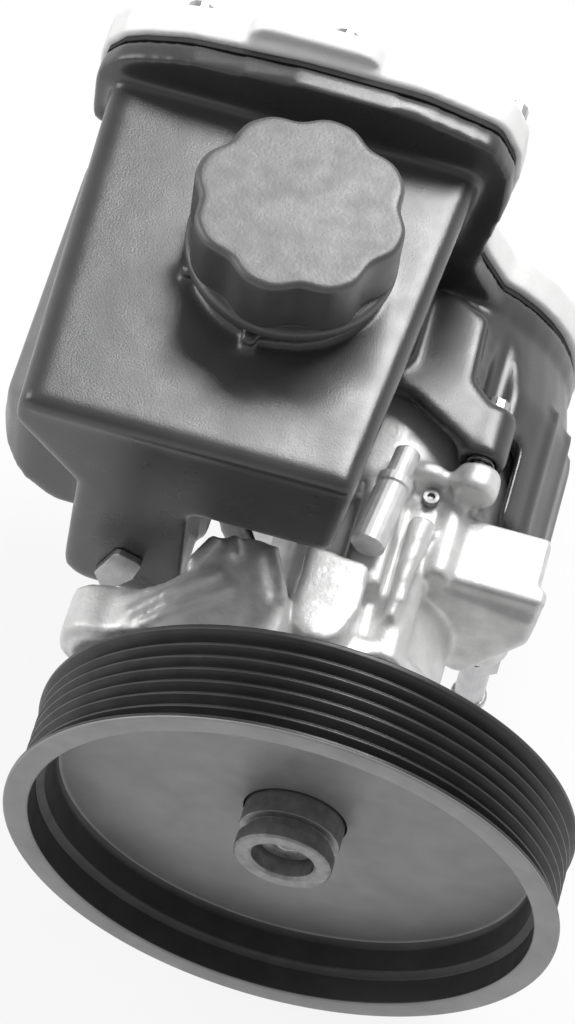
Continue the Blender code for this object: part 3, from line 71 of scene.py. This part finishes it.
# Camera: where the photograph was taken from, in metres and degrees. The axis point is the pixel that shows
# the part's origin, the middle of the pulley's front.
EYE_DISTANCE = 1.1
EYE_AZIMUTH = 4.0
EYE_ELEVATION = 63.0
EYE_ROLL = 12.0
FOCAL_PX = 4345.0
PHOTO_WIDTH = 575.0
PHOTO_HEIGHT = 1024.0
AXIS_X = 278.0
AXIS_Y = 874.5
SENSOR = 36.0

# Lamps, in watts and metres: a softbox behind and above the pump, and a weaker one on its left
KEY_WATTS = 13.0
KEY_AT = (0.19, 0.75, 1.02)
KEY_AIM = (0.0, 0.1, 0.05)
KEY_SIZE = (0.68, 0.42)
FILL_WATTS = 6.0
FILL_AT = (-1.15, 0.1, 0.7)
FILL_AIM = (0.0, 0.08, 0.0)
FILL_SIZE = (0.8, 0.8)

# World and floor. In reflections the world is white up to the low value of its height, and has faded to the
# plain level at the high one.
WORLD_LEVEL = 0.34
HORIZON_LOW = 0.1
HORIZON_HIGH = 0.55
FLOOR_REACH = 3.0
FLOOR_GAP_MM = 4.0
FLOOR_GREY = 0.86
FLOOR_GLOW = 0.88


def eye_axes():
    """The photograph's line of sight, right and up, before the aim moves to the picture's middle."""
    azimuth, elevation, roll = (math.radians(v) for v in (EYE_AZIMUTH, EYE_ELEVATION, EYE_ROLL))
    back = Vector((math.sin(azimuth) * math.cos(elevation), -math.cos(azimuth) * math.cos(elevation),
                   math.sin(elevation)))
    level = Vector((math.cos(azimuth), math.sin(azimuth), 0))
    upright = back.cross(level)
    right = level * math.cos(roll) + upright * math.sin(roll)
    up = upright * math.cos(roll) - level * math.sin(roll)
    return back, right, up


def make_camera():
    back, right, up = eye_axes()
    ray = -back * FOCAL_PX + right * (PHOTO_WIDTH / 2 - AXIS_X) + up * (AXIS_Y - PHOTO_HEIGHT / 2)
    away = -ray.normalized()
    across = (right - away * right.dot(away)).normalized()
    turn = Matrix((across, away.cross(across), away)).transposed().to_4x4()
    lens = bpy.data.cameras.new("camera")
    lens.sensor_width = SENSOR
    lens.lens = FOCAL_PX / PHOTO_HEIGHT * SENSOR
    camera = bpy.data.objects.new("camera", lens)
    bpy.context.scene.collection.objects.link(camera)
    camera.matrix_world = Matrix.Translation(back * EYE_DISTANCE) @ turn
    bpy.context.scene.camera = camera


# Light and stage

def make_lamp(name, at, target, size, watts):
    lamp = bpy.data.lights.new(name, "AREA")
    lamp.shape = "RECTANGLE"
    lamp.size, lamp.size_y = size
    lamp.energy = watts
    holder = bpy.data.objects.new(name, lamp)
    holder.location = at
    holder.rotation_euler = (Vector(target) - Vector(at)).to_track_quat("-Z", "Y").to_euler()
    bpy.context.scene.collection.objects.link(holder)


def joined(nodes, links, operation, first, second):
    """A Math node of two values."""
    made = nodes.new("ShaderNodeMath")
    made.operation = operation
    links.new(first, made.inputs[0])
    links.new(second, made.inputs[1])
    return made.outputs[0]


def background_rays(nodes, links, share=None):
    """One for a ray from the camera, and one or a share for a ray off a glossy or through a clear surface."""
    path = nodes.new("ShaderNodeLightPath")
    glossy = path.outputs["Is Glossy Ray"]
    other = joined(nodes, links, "MAXIMUM", glossy, path.outputs["Is Transmission Ray"])
    if share:
        other = joined(nodes, links, "MULTIPLY", other, share)
    return joined(nodes, links, "MAXIMUM", path.outputs["Is Camera Ray"], other)


def near_horizon(nodes, links):
    """One level with the object and below, and nothing higher up, as under a studio's dark ceiling."""
    place = nodes.new("ShaderNodeTexCoord")
    parts = nodes.new("ShaderNodeSeparateXYZ")
    links.new(place.outputs["Generated"], parts.inputs[0])
    fall = nodes.new("ShaderNodeMapRange")
    fall.inputs["From Min"].default_value = HORIZON_LOW
    fall.inputs["From Max"].default_value = HORIZON_HIGH
    fall.inputs["To Min"].default_value = 1.0
    fall.inputs["To Max"].default_value = 0.0
    links.new(parts.outputs["Z"], fall.inputs["Value"])
    return fall.outputs["Result"]


def make_world():
    world = bpy.data.worlds.new("studio")
    bpy.context.scene.world = world
    world.use_nodes = True
    nodes = world.node_tree.nodes
    links = world.node_tree.links
    ground = nodes["Background"]
    ground.inputs["Color"].default_value = (1.0, 1.0, 1.0, 1.0)
    ground.inputs["Strength"].default_value = WORLD_LEVEL
    white = nodes.new("ShaderNodeBackground")
    white.inputs["Strength"].default_value = 1.0
    mix = nodes.new("ShaderNodeMixShader")
    links.new(background_rays(nodes, links, near_horizon(nodes, links)), mix.inputs["Fac"])
    links.new(ground.outputs[0], mix.inputs[1])
    links.new(white.outputs[0], mix.inputs[2])
    links.new(mix.outputs[0], nodes["World Output"].inputs["Surface"])


def make_floor():
    """A plain white floor that keeps a faint shadow."""
    shape = bmesh.new()
    bmesh.ops.create_grid(shape, x_segments=2, y_segments=2, size=FLOOR_REACH)
    mesh = bpy.data.meshes.new("floor")
    shape.to_mesh(mesh)
    shape.free()
    floor = bpy.data.objects.new("floor", mesh)
    floor.location = (0, 0, cad_low.z - FLOOR_GAP_MM * MM)
    bpy.context.scene.collection.objects.link(floor)
    made = bpy.data.materials.new("floor")
    made.use_nodes = True
    nodes = made.node_tree.nodes
    links = made.node_tree.links
    nodes.remove(nodes["Principled BSDF"])
    matt = nodes.new("ShaderNodeBsdfDiffuse")
    matt.inputs["Color"].default_value = (FLOOR_GREY, FLOOR_GREY, FLOOR_GREY, 1.0)
    glow = nodes.new("ShaderNodeEmission")
    share = nodes.new("ShaderNodeMath")
    share.operation = "MULTIPLY"
    share.inputs[1].default_value = FLOOR_GLOW
    mix = nodes.new("ShaderNodeMixShader")
    links.new(background_rays(nodes, links), share.inputs[0])
    links.new(share.outputs[0], mix.inputs["Fac"])
    links.new(matt.outputs[0], mix.inputs[1])
    links.new(glow.outputs[0], mix.inputs[2])
    links.new(mix.outputs[0], nodes["Material Output"].inputs["Surface"])
    mesh.materials.append(made)


def make_studio():
    make_world()
    make_floor()
    make_lamp("softbox_behind", KEY_AT, KEY_AIM, KEY_SIZE, KEY_WATTS)
    make_lamp("fill_left", FILL_AT, FILL_AIM, FILL_SIZE, FILL_WATTS)
    bpy.context.scene.view_settings.view_transform = "Standard"


# Materials. Their sizes and depths are in millimetres, and a surface goes from one end of its range to the
# other between these two values of noise.

NOISE_LOW = 0.3
NOISE_HIGH = 0.7
EDGE_SAMPLES = 4


class Surface:
    """A principled material whose nodes are added one kind of detail at a time."""

    def __init__(self, name, colour, roughness, metallic=0.0):
        self.material = bpy.data.materials.new(name)
        self.material.use_nodes = True
        self.nodes = self.material.node_tree.nodes
        self.links = self.material.node_tree.links
        self.shader = self.nodes["Principled BSDF"]
        self.colour = colour
        self.shader.inputs["Base Color"].default_value = (*colour, 1.0)
        self.shader.inputs["Roughness"].default_value = roughness
        self.shader.inputs["Metallic"].default_value = metallic
        self.place = self.nodes.new("ShaderNodeTexCoord").outputs["Object"]
        self.normal = None

    def noise(self, size_mm, detail=3.0):
        """Noise whose features are about size_mm across."""
        texture = self.nodes.new("ShaderNodeTexNoise")
        texture.inputs["Scale"].default_value = 1.0 / (size_mm * MM)
        texture.inputs["Detail"].default_value = detail
        self.links.new(self.place, texture.inputs["Vector"])
        return texture.outputs["Fac"]

    def ranged(self, source, low, high):
        """A noise value spread from low to high."""
        spread = self.nodes.new("ShaderNodeMapRange")
        spread.inputs["From Min"].default_value = NOISE_LOW
        spread.inputs["From Max"].default_value = NOISE_HIGH
        spread.inputs["To Min"].default_value = low
        spread.inputs["To Max"].default_value = high
        self.links.new(source, spread.inputs["Value"])
        return spread.outputs["Result"]

    def vary_colour(self, size_mm, darker, lighter):
        """Blotches from a darker to a lighter share of the colour."""
        ramp = self.nodes.new("ShaderNodeValToRGB")
        ramp.color_ramp.elements[0].position = NOISE_LOW
        ramp.color_ramp.elements[1].position = NOISE_HIGH
        ramp.color_ramp.elements[0].color = (*(c * darker for c in self.colour), 1.0)
        ramp.color_ramp.elements[1].color = (*(c * lighter for c in self.colour), 1.0)
        self.links.new(self.noise(size_mm), ramp.inputs["Fac"])
        self.links.new(ramp.outputs["Color"], self.shader.inputs["Base Color"])
        return self

    def vary_roughness(self, size_mm, low, high):
        self.links.new(self.ranged(self.noise(size_mm), low, high), self.shader.inputs["Roughness"])
        return self

    def round_edges(self, radius_mm):
        """Small rounding that catches light along every edge."""
        bevel = self.nodes.new("ShaderNodeBevel")
        bevel.samples = EDGE_SAMPLES
        bevel.inputs["Radius"].default_value = radius_mm * MM
        self.normal = bevel.outputs["Normal"]
        self.links.new(self.normal, self.shader.inputs["Normal"])
        return self

    def grain(self, size_mm, depth_mm, detail=2.0):
        """Fine relief of the surface."""
        bump = self.nodes.new("ShaderNodeBump")
        bump.inputs["Strength"].default_value = 1.0
        bump.inputs["Distance"].default_value = depth_mm * MM
        self.links.new(self.noise(size_mm, detail), bump.inputs["Height"])
        if self.normal:
            self.links.new(self.normal, bump.inputs["Normal"])
        self.normal = bump.outputs["Normal"]
        self.links.new(self.normal, self.shader.inputs["Normal"])
        return self


def black_plastic():
    made = Surface("black_plastic", (0.045, 0.045, 0.047), 0.3)
    made.shader.inputs["Specular IOR Level"].default_value = 0.85
    made.vary_colour(22.0, 0.85, 1.2).vary_roughness(9.0, 0.26, 0.34)
    return made.grain(0.5, 0.03).grain(14.0, 0.1).material


def cap_plastic():
    made = Surface("cap_plastic", (0.065, 0.065, 0.067), 0.4)
    made.shader.inputs["Specular IOR Level"].default_value = 1.0
    made.vary_colour(12.0, 0.85, 1.2).vary_roughness(5.0, 0.36, 0.45)
    return made.round_edges(0.7).grain(0.8, 0.05, 4.0).material


def cast_aluminium():
    made = Surface("cast_aluminium", (0.78, 0.78, 0.775), 0.48, 0.6)
    made.vary_colour(7.0, 0.88, 1.08).vary_roughness(3.0, 0.42, 0.6)
    return made.grain(1.1, 0.1, 4.0).material


def light_casting():
    made = Surface("light_casting", (0.88, 0.88, 0.875), 0.46, 0.05)
    made.vary_colour(9.0, 0.95, 1.03).vary_roughness(4.0, 0.42, 0.54)
    return made.grain(1.3, 0.08, 4.0).material


# The grey copy of the pulley's black paint, lighter than the real coat: a painted reflection of the bright
# floor on the web and the lip's front
def pulley_paint():
    made = Surface("pulley_paint", (0.3, 0.3, 0.302), 0.48, 0.4)
    made.shader.inputs["Specular IOR Level"].default_value = 0.8
    made.vary_colour(16.0, 0.9, 1.1).vary_roughness(6.0, 0.42, 0.54)
    return made.grain(0.7, 0.03, 3.0).material


# A darker copy of the pulley's paint: painted shade for the grooves and the dish's walls
def shaded_pulley_paint():
    made = Surface("shaded_pulley_paint", (0.03, 0.03, 0.031), 0.36, 0.1)
    made.vary_colour(9.0, 0.8, 1.25).vary_roughness(5.0, 0.34, 0.46)
    return made.grain(0.7, 0.02, 3.0).material


def steel():
    made = Surface("steel", (0.55, 0.55, 0.56), 0.3, 1.0)
    made.vary_colour(4.0, 0.85, 1.1).vary_roughness(2.0, 0.24, 0.42)
    return made.round_edges(0.4).grain(0.3, 0.015, 3.0).material


def satin_metal():
    made = Surface("satin_metal", (0.8, 0.8, 0.8), 0.5, 0.55)
    made.vary_colour(5.0, 0.86, 1.1).vary_roughness(2.5, 0.42, 0.58)
    return made.round_edges(0.5).grain(0.6, 0.03, 3.0).material


def dull_zinc():
    made = Surface("dull_zinc", (0.3, 0.3, 0.305), 0.45, 0.8)
    made.vary_colour(3.0, 0.8, 1.15).vary_roughness(2.0, 0.38, 0.55)
    return made.round_edges(0.4).grain(0.4, 0.02, 3.0).material


def rubber():
    made = Surface("rubber", (0.02, 0.02, 0.02), 0.75)
    made.vary_colour(3.0, 0.8, 1.3)
    return made.round_edges(0.4).grain(0.4, 0.03, 3.0).material


FINISHES = {
    "black_plastic": black_plastic(),
    "cap_plastic": cap_plastic(),
    "cast_aluminium": cast_aluminium(),
    "light_casting": light_casting(),
    "pulley_paint": pulley_paint(),
    "steel": steel(),
    "rubber": rubber(),
}
# The pulley's dark paint copy is painted shade, its grey pulley_paint copy painted reflection
PULLEY_PAINTED_SHADE_FINISH = shaded_pulley_paint()
BRIGHT_FINISH = satin_metal()
DULL_FINISH = dull_zinc()

# Nodes whose metal is lighter or duller than the slot's usual finish
SPECIAL_FINISHES = {
    "locating_sleeve": BRIGHT_FINISH,
    "valve_plug": BRIGHT_FINISH,
    "pocket_screw": DULL_FINISH,
    "pulley_hub": DULL_FINISH,
}

# Edges sharper than these angles, in degrees, keep their crease
NODE_CREASE = 32.0
PIECE_CREASE = 40.0


def dress_nodes():
    """Every node kept from the frame gets its slot's finish and smooth round faces."""
    for row in frame["record"]["subparts"]:
        node = frame["nodes"][row["node"]]
        node.data.materials.clear()
        node.data.materials.append(SPECIAL_FINISHES.get(row["node"], FINISHES[row["material_slot"]]))
        node.data.shade_smooth()
        node.data.set_sharp_from_angle(angle=math.radians(NODE_CREASE))


# Shape helpers, in millimetres. A corner within this angle of straight, in radians, isn't rounded, and a
# fillet takes no more than this share of a side.

STRAIGHT = 0.02
SIDE_SHARE = 0.48
CORNER_STEPS = 3


def fillet(before, corner, after, radius):
    """Points of the arc that rounds one corner of an outline."""
    to_before = (before - corner).normalized()
    to_after = (after - corner).normalized()
    opening = to_before.angle(to_after)
    if radius <= 0 or opening > math.pi - STRAIGHT:
        return [corner]
    shorter = min((before - corner).length, (after - corner).length)
    reach = min(radius / math.tan(opening / 2), SIDE_SHARE * shorter)
    radius = reach * math.tan(opening / 2)
    start = corner + to_before * reach
    end = corner + to_after * reach
    centre = corner + (to_before + to_after).normalized() * (radius / math.sin(opening / 2))
    arc = []
    for step in range(CORNER_STEPS + 1):
        arc.append(centre + (start.lerp(end, step / CORNER_STEPS) - centre).normalized() * radius)
    return arc


def rounded(corners):
    """Points of a closed outline whose corners are (across, up, radius)."""
    places = [Vector(corner[:2]) for corner in corners]
    points = []
    for index, corner in enumerate(corners):
        after = places[(index + 1) % len(places)]
        points += fillet(places[index - 1], places[index], after, corner[2])
    return points


def skin(name, rings, body, slot, replaced, capped=False):
    """A closed surface over rings of equally many points, its ends capped or joined to each other."""
    shape = bmesh.new()
    loops = [[shape.verts.new(Vector(point) * MM) for point in ring] for ring in rings]
    following = loops[1:] if capped else loops[1:] + loops[:1]
    for first, second in zip(loops, following):
        for index, vertex in enumerate(first):
            shape.faces.new((vertex, first[index - 1], second[index - 1], second[index]))
    if capped:
        shape.faces.new(loops[0])
        shape.faces.new(loops[-1])
    bmesh.ops.recalc_face_normals(shape, faces=shape.faces)
    mesh = bpy.data.meshes.new(name)
    shape.to_mesh(mesh)
    shape.free()
    piece = bpy.data.objects.new(name, mesh)
    bpy.context.scene.collection.objects.link(piece)
    mesh.materials.append(FINISHES[slot])
    mesh.shade_smooth()
    mesh.set_sharp_from_angle(angle=math.radians(PIECE_CREASE))
    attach(piece, body)
    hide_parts(replaced)
    return piece


def turned(name, profile, steps, body, slot, replaced):
    """A closed profile of (radius, distance back) points turned round the shaft's axis."""
    angles = [2 * math.pi * step / steps for step in range(steps)]
    rings = []
    for radius, back in profile:
        rings.append([(radius * math.cos(angle), back, radius * math.sin(angle)) for angle in angles])
    return skin(name, rings, body, slot, replaced)


# The pulley, with its ribs' crests and valleys rounded. A corner is its radius, distance back and rounding.

LIP_R = 72.5
RIB_TIP_R = 70.2
RIB_DEPTH = 2.5
RIB_PITCH = 3.56
BELT_RIBS = 7
RIB_FLAT = 0.5
LIP_THICK = 1.6
BACK_RIM_R = 70.9
BACK_RIM_WIDTH = 1.9
DISH_FRONT_R = 65.9
DISH_R = 63.6
DISH_STEP_Y = 8.5
WEB_Y = 17.0
WEB_BACK = 20.0
HUB_HOLE_R = 13.5
PULLEY_STEPS = 240

# Rises and slopes of the profile
RIB_ROOT_DIP = 0.1
RIM_SLOPE = 0.5
LIP_RISE = 0.5
DISH_SLOPE = 1.0
DRAFT_IN = 1.0
DRAFT_OUT = 0.6

# Roundings of its corners
RIM_ROUND = 0.5
RIM_FRONT_ROUND = 0.4
RIB_CREST_ROUND = 0.22
RIB_ROOT_ROUND = 0.3
LIP_ROOT_ROUND = 0.3
LIP_BACK_ROUND = 0.35
LIP_ROUND = 0.6
DISH_MOUTH_ROUND = 0.9
DISH_STEP_ROUND = 0.5
DISH_ROUND = 0.8
WEB_ROUND = 2.2
WEB_BACK_ROUND = 2.0
HUB_HOLE_ROUND = 0.3

# Where the painted reflection shows, in the grey copy of the paint: the front of the lip, and faces of the
# web that look along the axis. Every other face gets the dark copy, painted shade.
LIP_PAINTED_REFLECTION_DEPTH = 0.6
WEB_PAINTED_REFLECTION_FACING = 0.9


def pulley_profile():
    back = LIP_THICK + BELT_RIBS * RIB_PITCH + BACK_RIM_WIDTH
    rim_front = back - BACK_RIM_WIDTH + RIM_SLOPE
    corners = [(BACK_RIM_R, back, RIM_ROUND), (BACK_RIM_R, rim_front, RIM_FRONT_ROUND)]
    for rib in reversed(range(BELT_RIBS)):
        middle = LIP_THICK + RIB_PITCH * (rib + 0.5)
        corners.append((RIB_TIP_R, middle + RIB_PITCH / 2 - RIB_FLAT / 2, RIB_CREST_ROUND))
        corners.append((RIB_TIP_R - RIB_DEPTH - RIB_ROOT_DIP, middle, RIB_ROOT_ROUND))
        corners.append((RIB_TIP_R, middle - RIB_PITCH / 2 + RIB_FLAT / 2, RIB_CREST_ROUND))
    corners.append((RIB_TIP_R + LIP_RISE, LIP_THICK, LIP_ROOT_ROUND))
    corners.append((LIP_R, LIP_THICK, LIP_BACK_ROUND))
    corners.append((LIP_R, 0, LIP_ROUND))
    corners.append((DISH_FRONT_R, 0, DISH_MOUTH_ROUND))
    corners.append((DISH_FRONT_R, DISH_STEP_Y - DISH_SLOPE, DISH_STEP_ROUND))
    corners.append((DISH_R, DISH_STEP_Y, DISH_ROUND))
    corners.append((DISH_R, WEB_Y, WEB_ROUND))
    corners.append((HUB_HOLE_R, WEB_Y, HUB_HOLE_ROUND))
    corners.append((HUB_HOLE_R, WEB_BACK, HUB_HOLE_ROUND))
    corners.append((DISH_R - DRAFT_IN, WEB_BACK, WEB_BACK_ROUND))
    corners.append((DISH_R + DRAFT_OUT, back, RIM_ROUND))
    return rounded(corners)


def make_pulley():
    """One black paint in two copies: the grooves and the dish's walls get a dark copy as painted shade, and
    the web and lip a grey copy as painted reflection of the floor.
    """
    pulley = turned("pulley_fine", pulley_profile(), PULLEY_STEPS, "shaft_group", "pulley_paint", "pulley")
    # The second slot is the dark copy of the paint, painted shade
    pulley.data.materials.append(PULLEY_PAINTED_SHADE_FINISH)
    for face in pulley.data.polygons:
        across = math.hypot(face.center.x, face.center.z) / MM
        lip_painted_reflection = face.center.y < LIP_PAINTED_REFLECTION_DEPTH * MM and across > DISH_FRONT_R
        web_painted_reflection = abs(face.normal.y) > WEB_PAINTED_REFLECTION_FACING and across < DISH_R
        # Grey painted reflection on the lip's front and the web, dark painted shade everywhere else
        face.material_index = 0 if lip_painted_reflection or web_painted_reflection else 1


# The cap, with broad lobes, a rounded top edge and a plain ring below

CAP_AT = (-37.0, 118.5)
CAP_R = 27.0
CAP_LOBES = 8
CAP_LOBE_DEPTH = 2.2
CAP_LOBE_TURN = 37.0
CAP_TOP = 118.0
CAP_LOW = 96.0
CAP_RING = 4.0
CAP_INSIDE_R = 18.8
CAP_ROOF_LOW = 114.0
CAP_STEM_LOW = 105.0
CAP_STEM_R = 5.2
CAP_STEM_HOLE_R = 2.5
CAP_STEPS = 288
CAP_EDGE_R = 1.7
CAP_EDGE_STEPS = 6
CAP_CHAMFER = 0.5
CAP_STEM_CHAMFER = 0.3
CAP_RING_INSET = 0.2

# The roof is flat in the middle, and the lobes fade in towards its edge: radius, share of the lobes' depth
CAP_ROOF = ((8.0, 0.0), (16.0, 0.2))
CAP_ROOF_INSET = 3.0
CAP_ROOF_EDGE_SHARE = 0.9
CAP_CROWN = 0.02

# The foot of the lobes and the neck below them: height above the ring, inset, share of the lobes' depth
CAP_SIDE = ((2.0, 0.1, 1.0), (0.4, 0.3, 1.0), (0.0, 1.4, 0.6), (-0.3, 1.4, 0.0), (-0.5, 0.6, 0.0))
CAP_RING_TOP_DROP = 1.0

# The higher this is, the broader the lobes and the narrower the hollows between them
CAP_LOBE_BREADTH = 1.6


def cap_levels():
    """Height, radius and share of the lobes' depth, from the roof's middle over the side to inside."""
    levels = [(CAP_TOP, radius, share) for radius, share in CAP_ROOF]
    levels.append((CAP_TOP - CAP_CROWN, CAP_R - CAP_ROOF_INSET, CAP_ROOF_EDGE_SHARE))
    for step in range(CAP_EDGE_STEPS + 1):
        angle = math.pi / 2 * step / CAP_EDGE_STEPS
        height = CAP_TOP - CAP_EDGE_R + CAP_EDGE_R * math.cos(angle)
        levels.append((height, CAP_R - CAP_EDGE_R + CAP_EDGE_R * math.sin(angle), 1.0))

    # The side, the neck below the lobes and the plain ring
    ring_top = CAP_LOW + CAP_RING
    ring_r = CAP_R - CAP_RING_INSET
    levels += [(ring_top + rise, CAP_R - inset, share) for rise, inset, share in CAP_SIDE]
    levels += [(ring_top - CAP_RING_TOP_DROP, ring_r, 0.0), (CAP_LOW + CAP_CHAMFER, ring_r, 0.0)]
    levels += [(CAP_LOW, ring_r - CAP_CHAMFER, 0.0)]

    # The inside, up to the roof and down its stem
    levels += [(CAP_LOW, CAP_INSIDE_R + CAP_CHAMFER, 0.0), (CAP_LOW + CAP_CHAMFER, CAP_INSIDE_R, 0.0)]
    levels += [(CAP_ROOF_LOW, CAP_INSIDE_R, 0.0), (CAP_ROOF_LOW, CAP_STEM_R, 0.0)]
    levels += [(CAP_STEM_LOW + CAP_STEM_CHAMFER, CAP_STEM_R, 0.0)]
    levels += [(CAP_STEM_LOW, CAP_STEM_R - CAP_STEM_CHAMFER, 0.0), (CAP_STEM_LOW, CAP_STEM_HOLE_R, 0.0)]
    return levels


def make_cap():
    rings = []
    for height, radius, share in cap_levels():
        ring = []
        for step in range(CAP_STEPS):
            angle = 2 * math.pi * step / CAP_STEPS
            wave = 0.5 - 0.5 * math.cos(CAP_LOBES * (angle - math.radians(CAP_LOBE_TURN)))
            reach = radius - CAP_LOBE_DEPTH * share * wave ** CAP_LOBE_BREADTH
            ring.append((CAP_AT[0] + reach * math.cos(angle), CAP_AT[1] + reach * math.sin(angle), height))
        rings.append(ring)
    skin("filler_cap_fine", rings, "cap", "cap_plastic", "filler_cap", capped=True)


# The valve's spring, which shortens towards its fixed end as the spool is pushed back

SPRING_WIRE_R = 0.6
SPRING_TURNS = 5
SPRING_TURN_STEPS = 32
WIRE_STEPS = 12


def make_spring():
    low, high = (Vector(corner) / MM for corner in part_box("valve_spring"))
    middle = (low + high) / 2
    coil_r = (high.x - low.x) / 2 - SPRING_WIRE_R
    travel = high.y - low.y - 2 * SPRING_WIRE_R
    along = Vector((0, 1, 0))
    steps = SPRING_TURNS * SPRING_TURN_STEPS
    rings = []
    for step in range(steps + 1):
        angle = 2 * math.pi * step / SPRING_TURN_STEPS
        outward = Vector((math.cos(angle), 0, math.sin(angle)))
        height = low.y + SPRING_WIRE_R + travel * step / steps
        centre = Vector((middle.x, height, middle.z)) + outward * coil_r
        ring = []
        for corner in range(WIRE_STEPS):
            turn = 2 * math.pi * corner / WIRE_STEPS
            ring.append(centre + (outward * math.cos(turn) + along * math.sin(turn)) * SPRING_WIRE_R)
        rings.append(ring)
    spring = skin("valve_spring_fine", rings, "pump_body", "steel", "valve_spring", capped=True)
    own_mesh(spring)


# Castings and mouldings whose edges are softened: voxel size in millimetres and rounds of smoothing

CAST_LOOKS = {
    "pump_housing": (0.94, 8),
    "rear_cover": (0.9, 5),
    "reservoir_body": (1.22, 8),
}
CAST_SMOOTHING = 0.5


def cast_look(node, voxel_mm, rounds):
    """Round a cast node's edges as a mould leaves them."""
    piece = frame["nodes"][node]
    even = piece.modifiers.new("even", "REMESH")
    even.mode = "VOXEL"
    even.voxel_size = voxel_mm * MM
    even.use_smooth_shade = True
    soft = piece.modifiers.new("soft", "SMOOTH")
    soft.factor = CAST_SMOOTHING
    soft.iterations = rounds


make_camera()
make_studio()
dress_nodes()
make_pulley()
make_cap()
make_spring()
for cast_node, (cast_voxel, cast_rounds) in CAST_LOOKS.items():
    cast_look(cast_node, cast_voxel, cast_rounds)
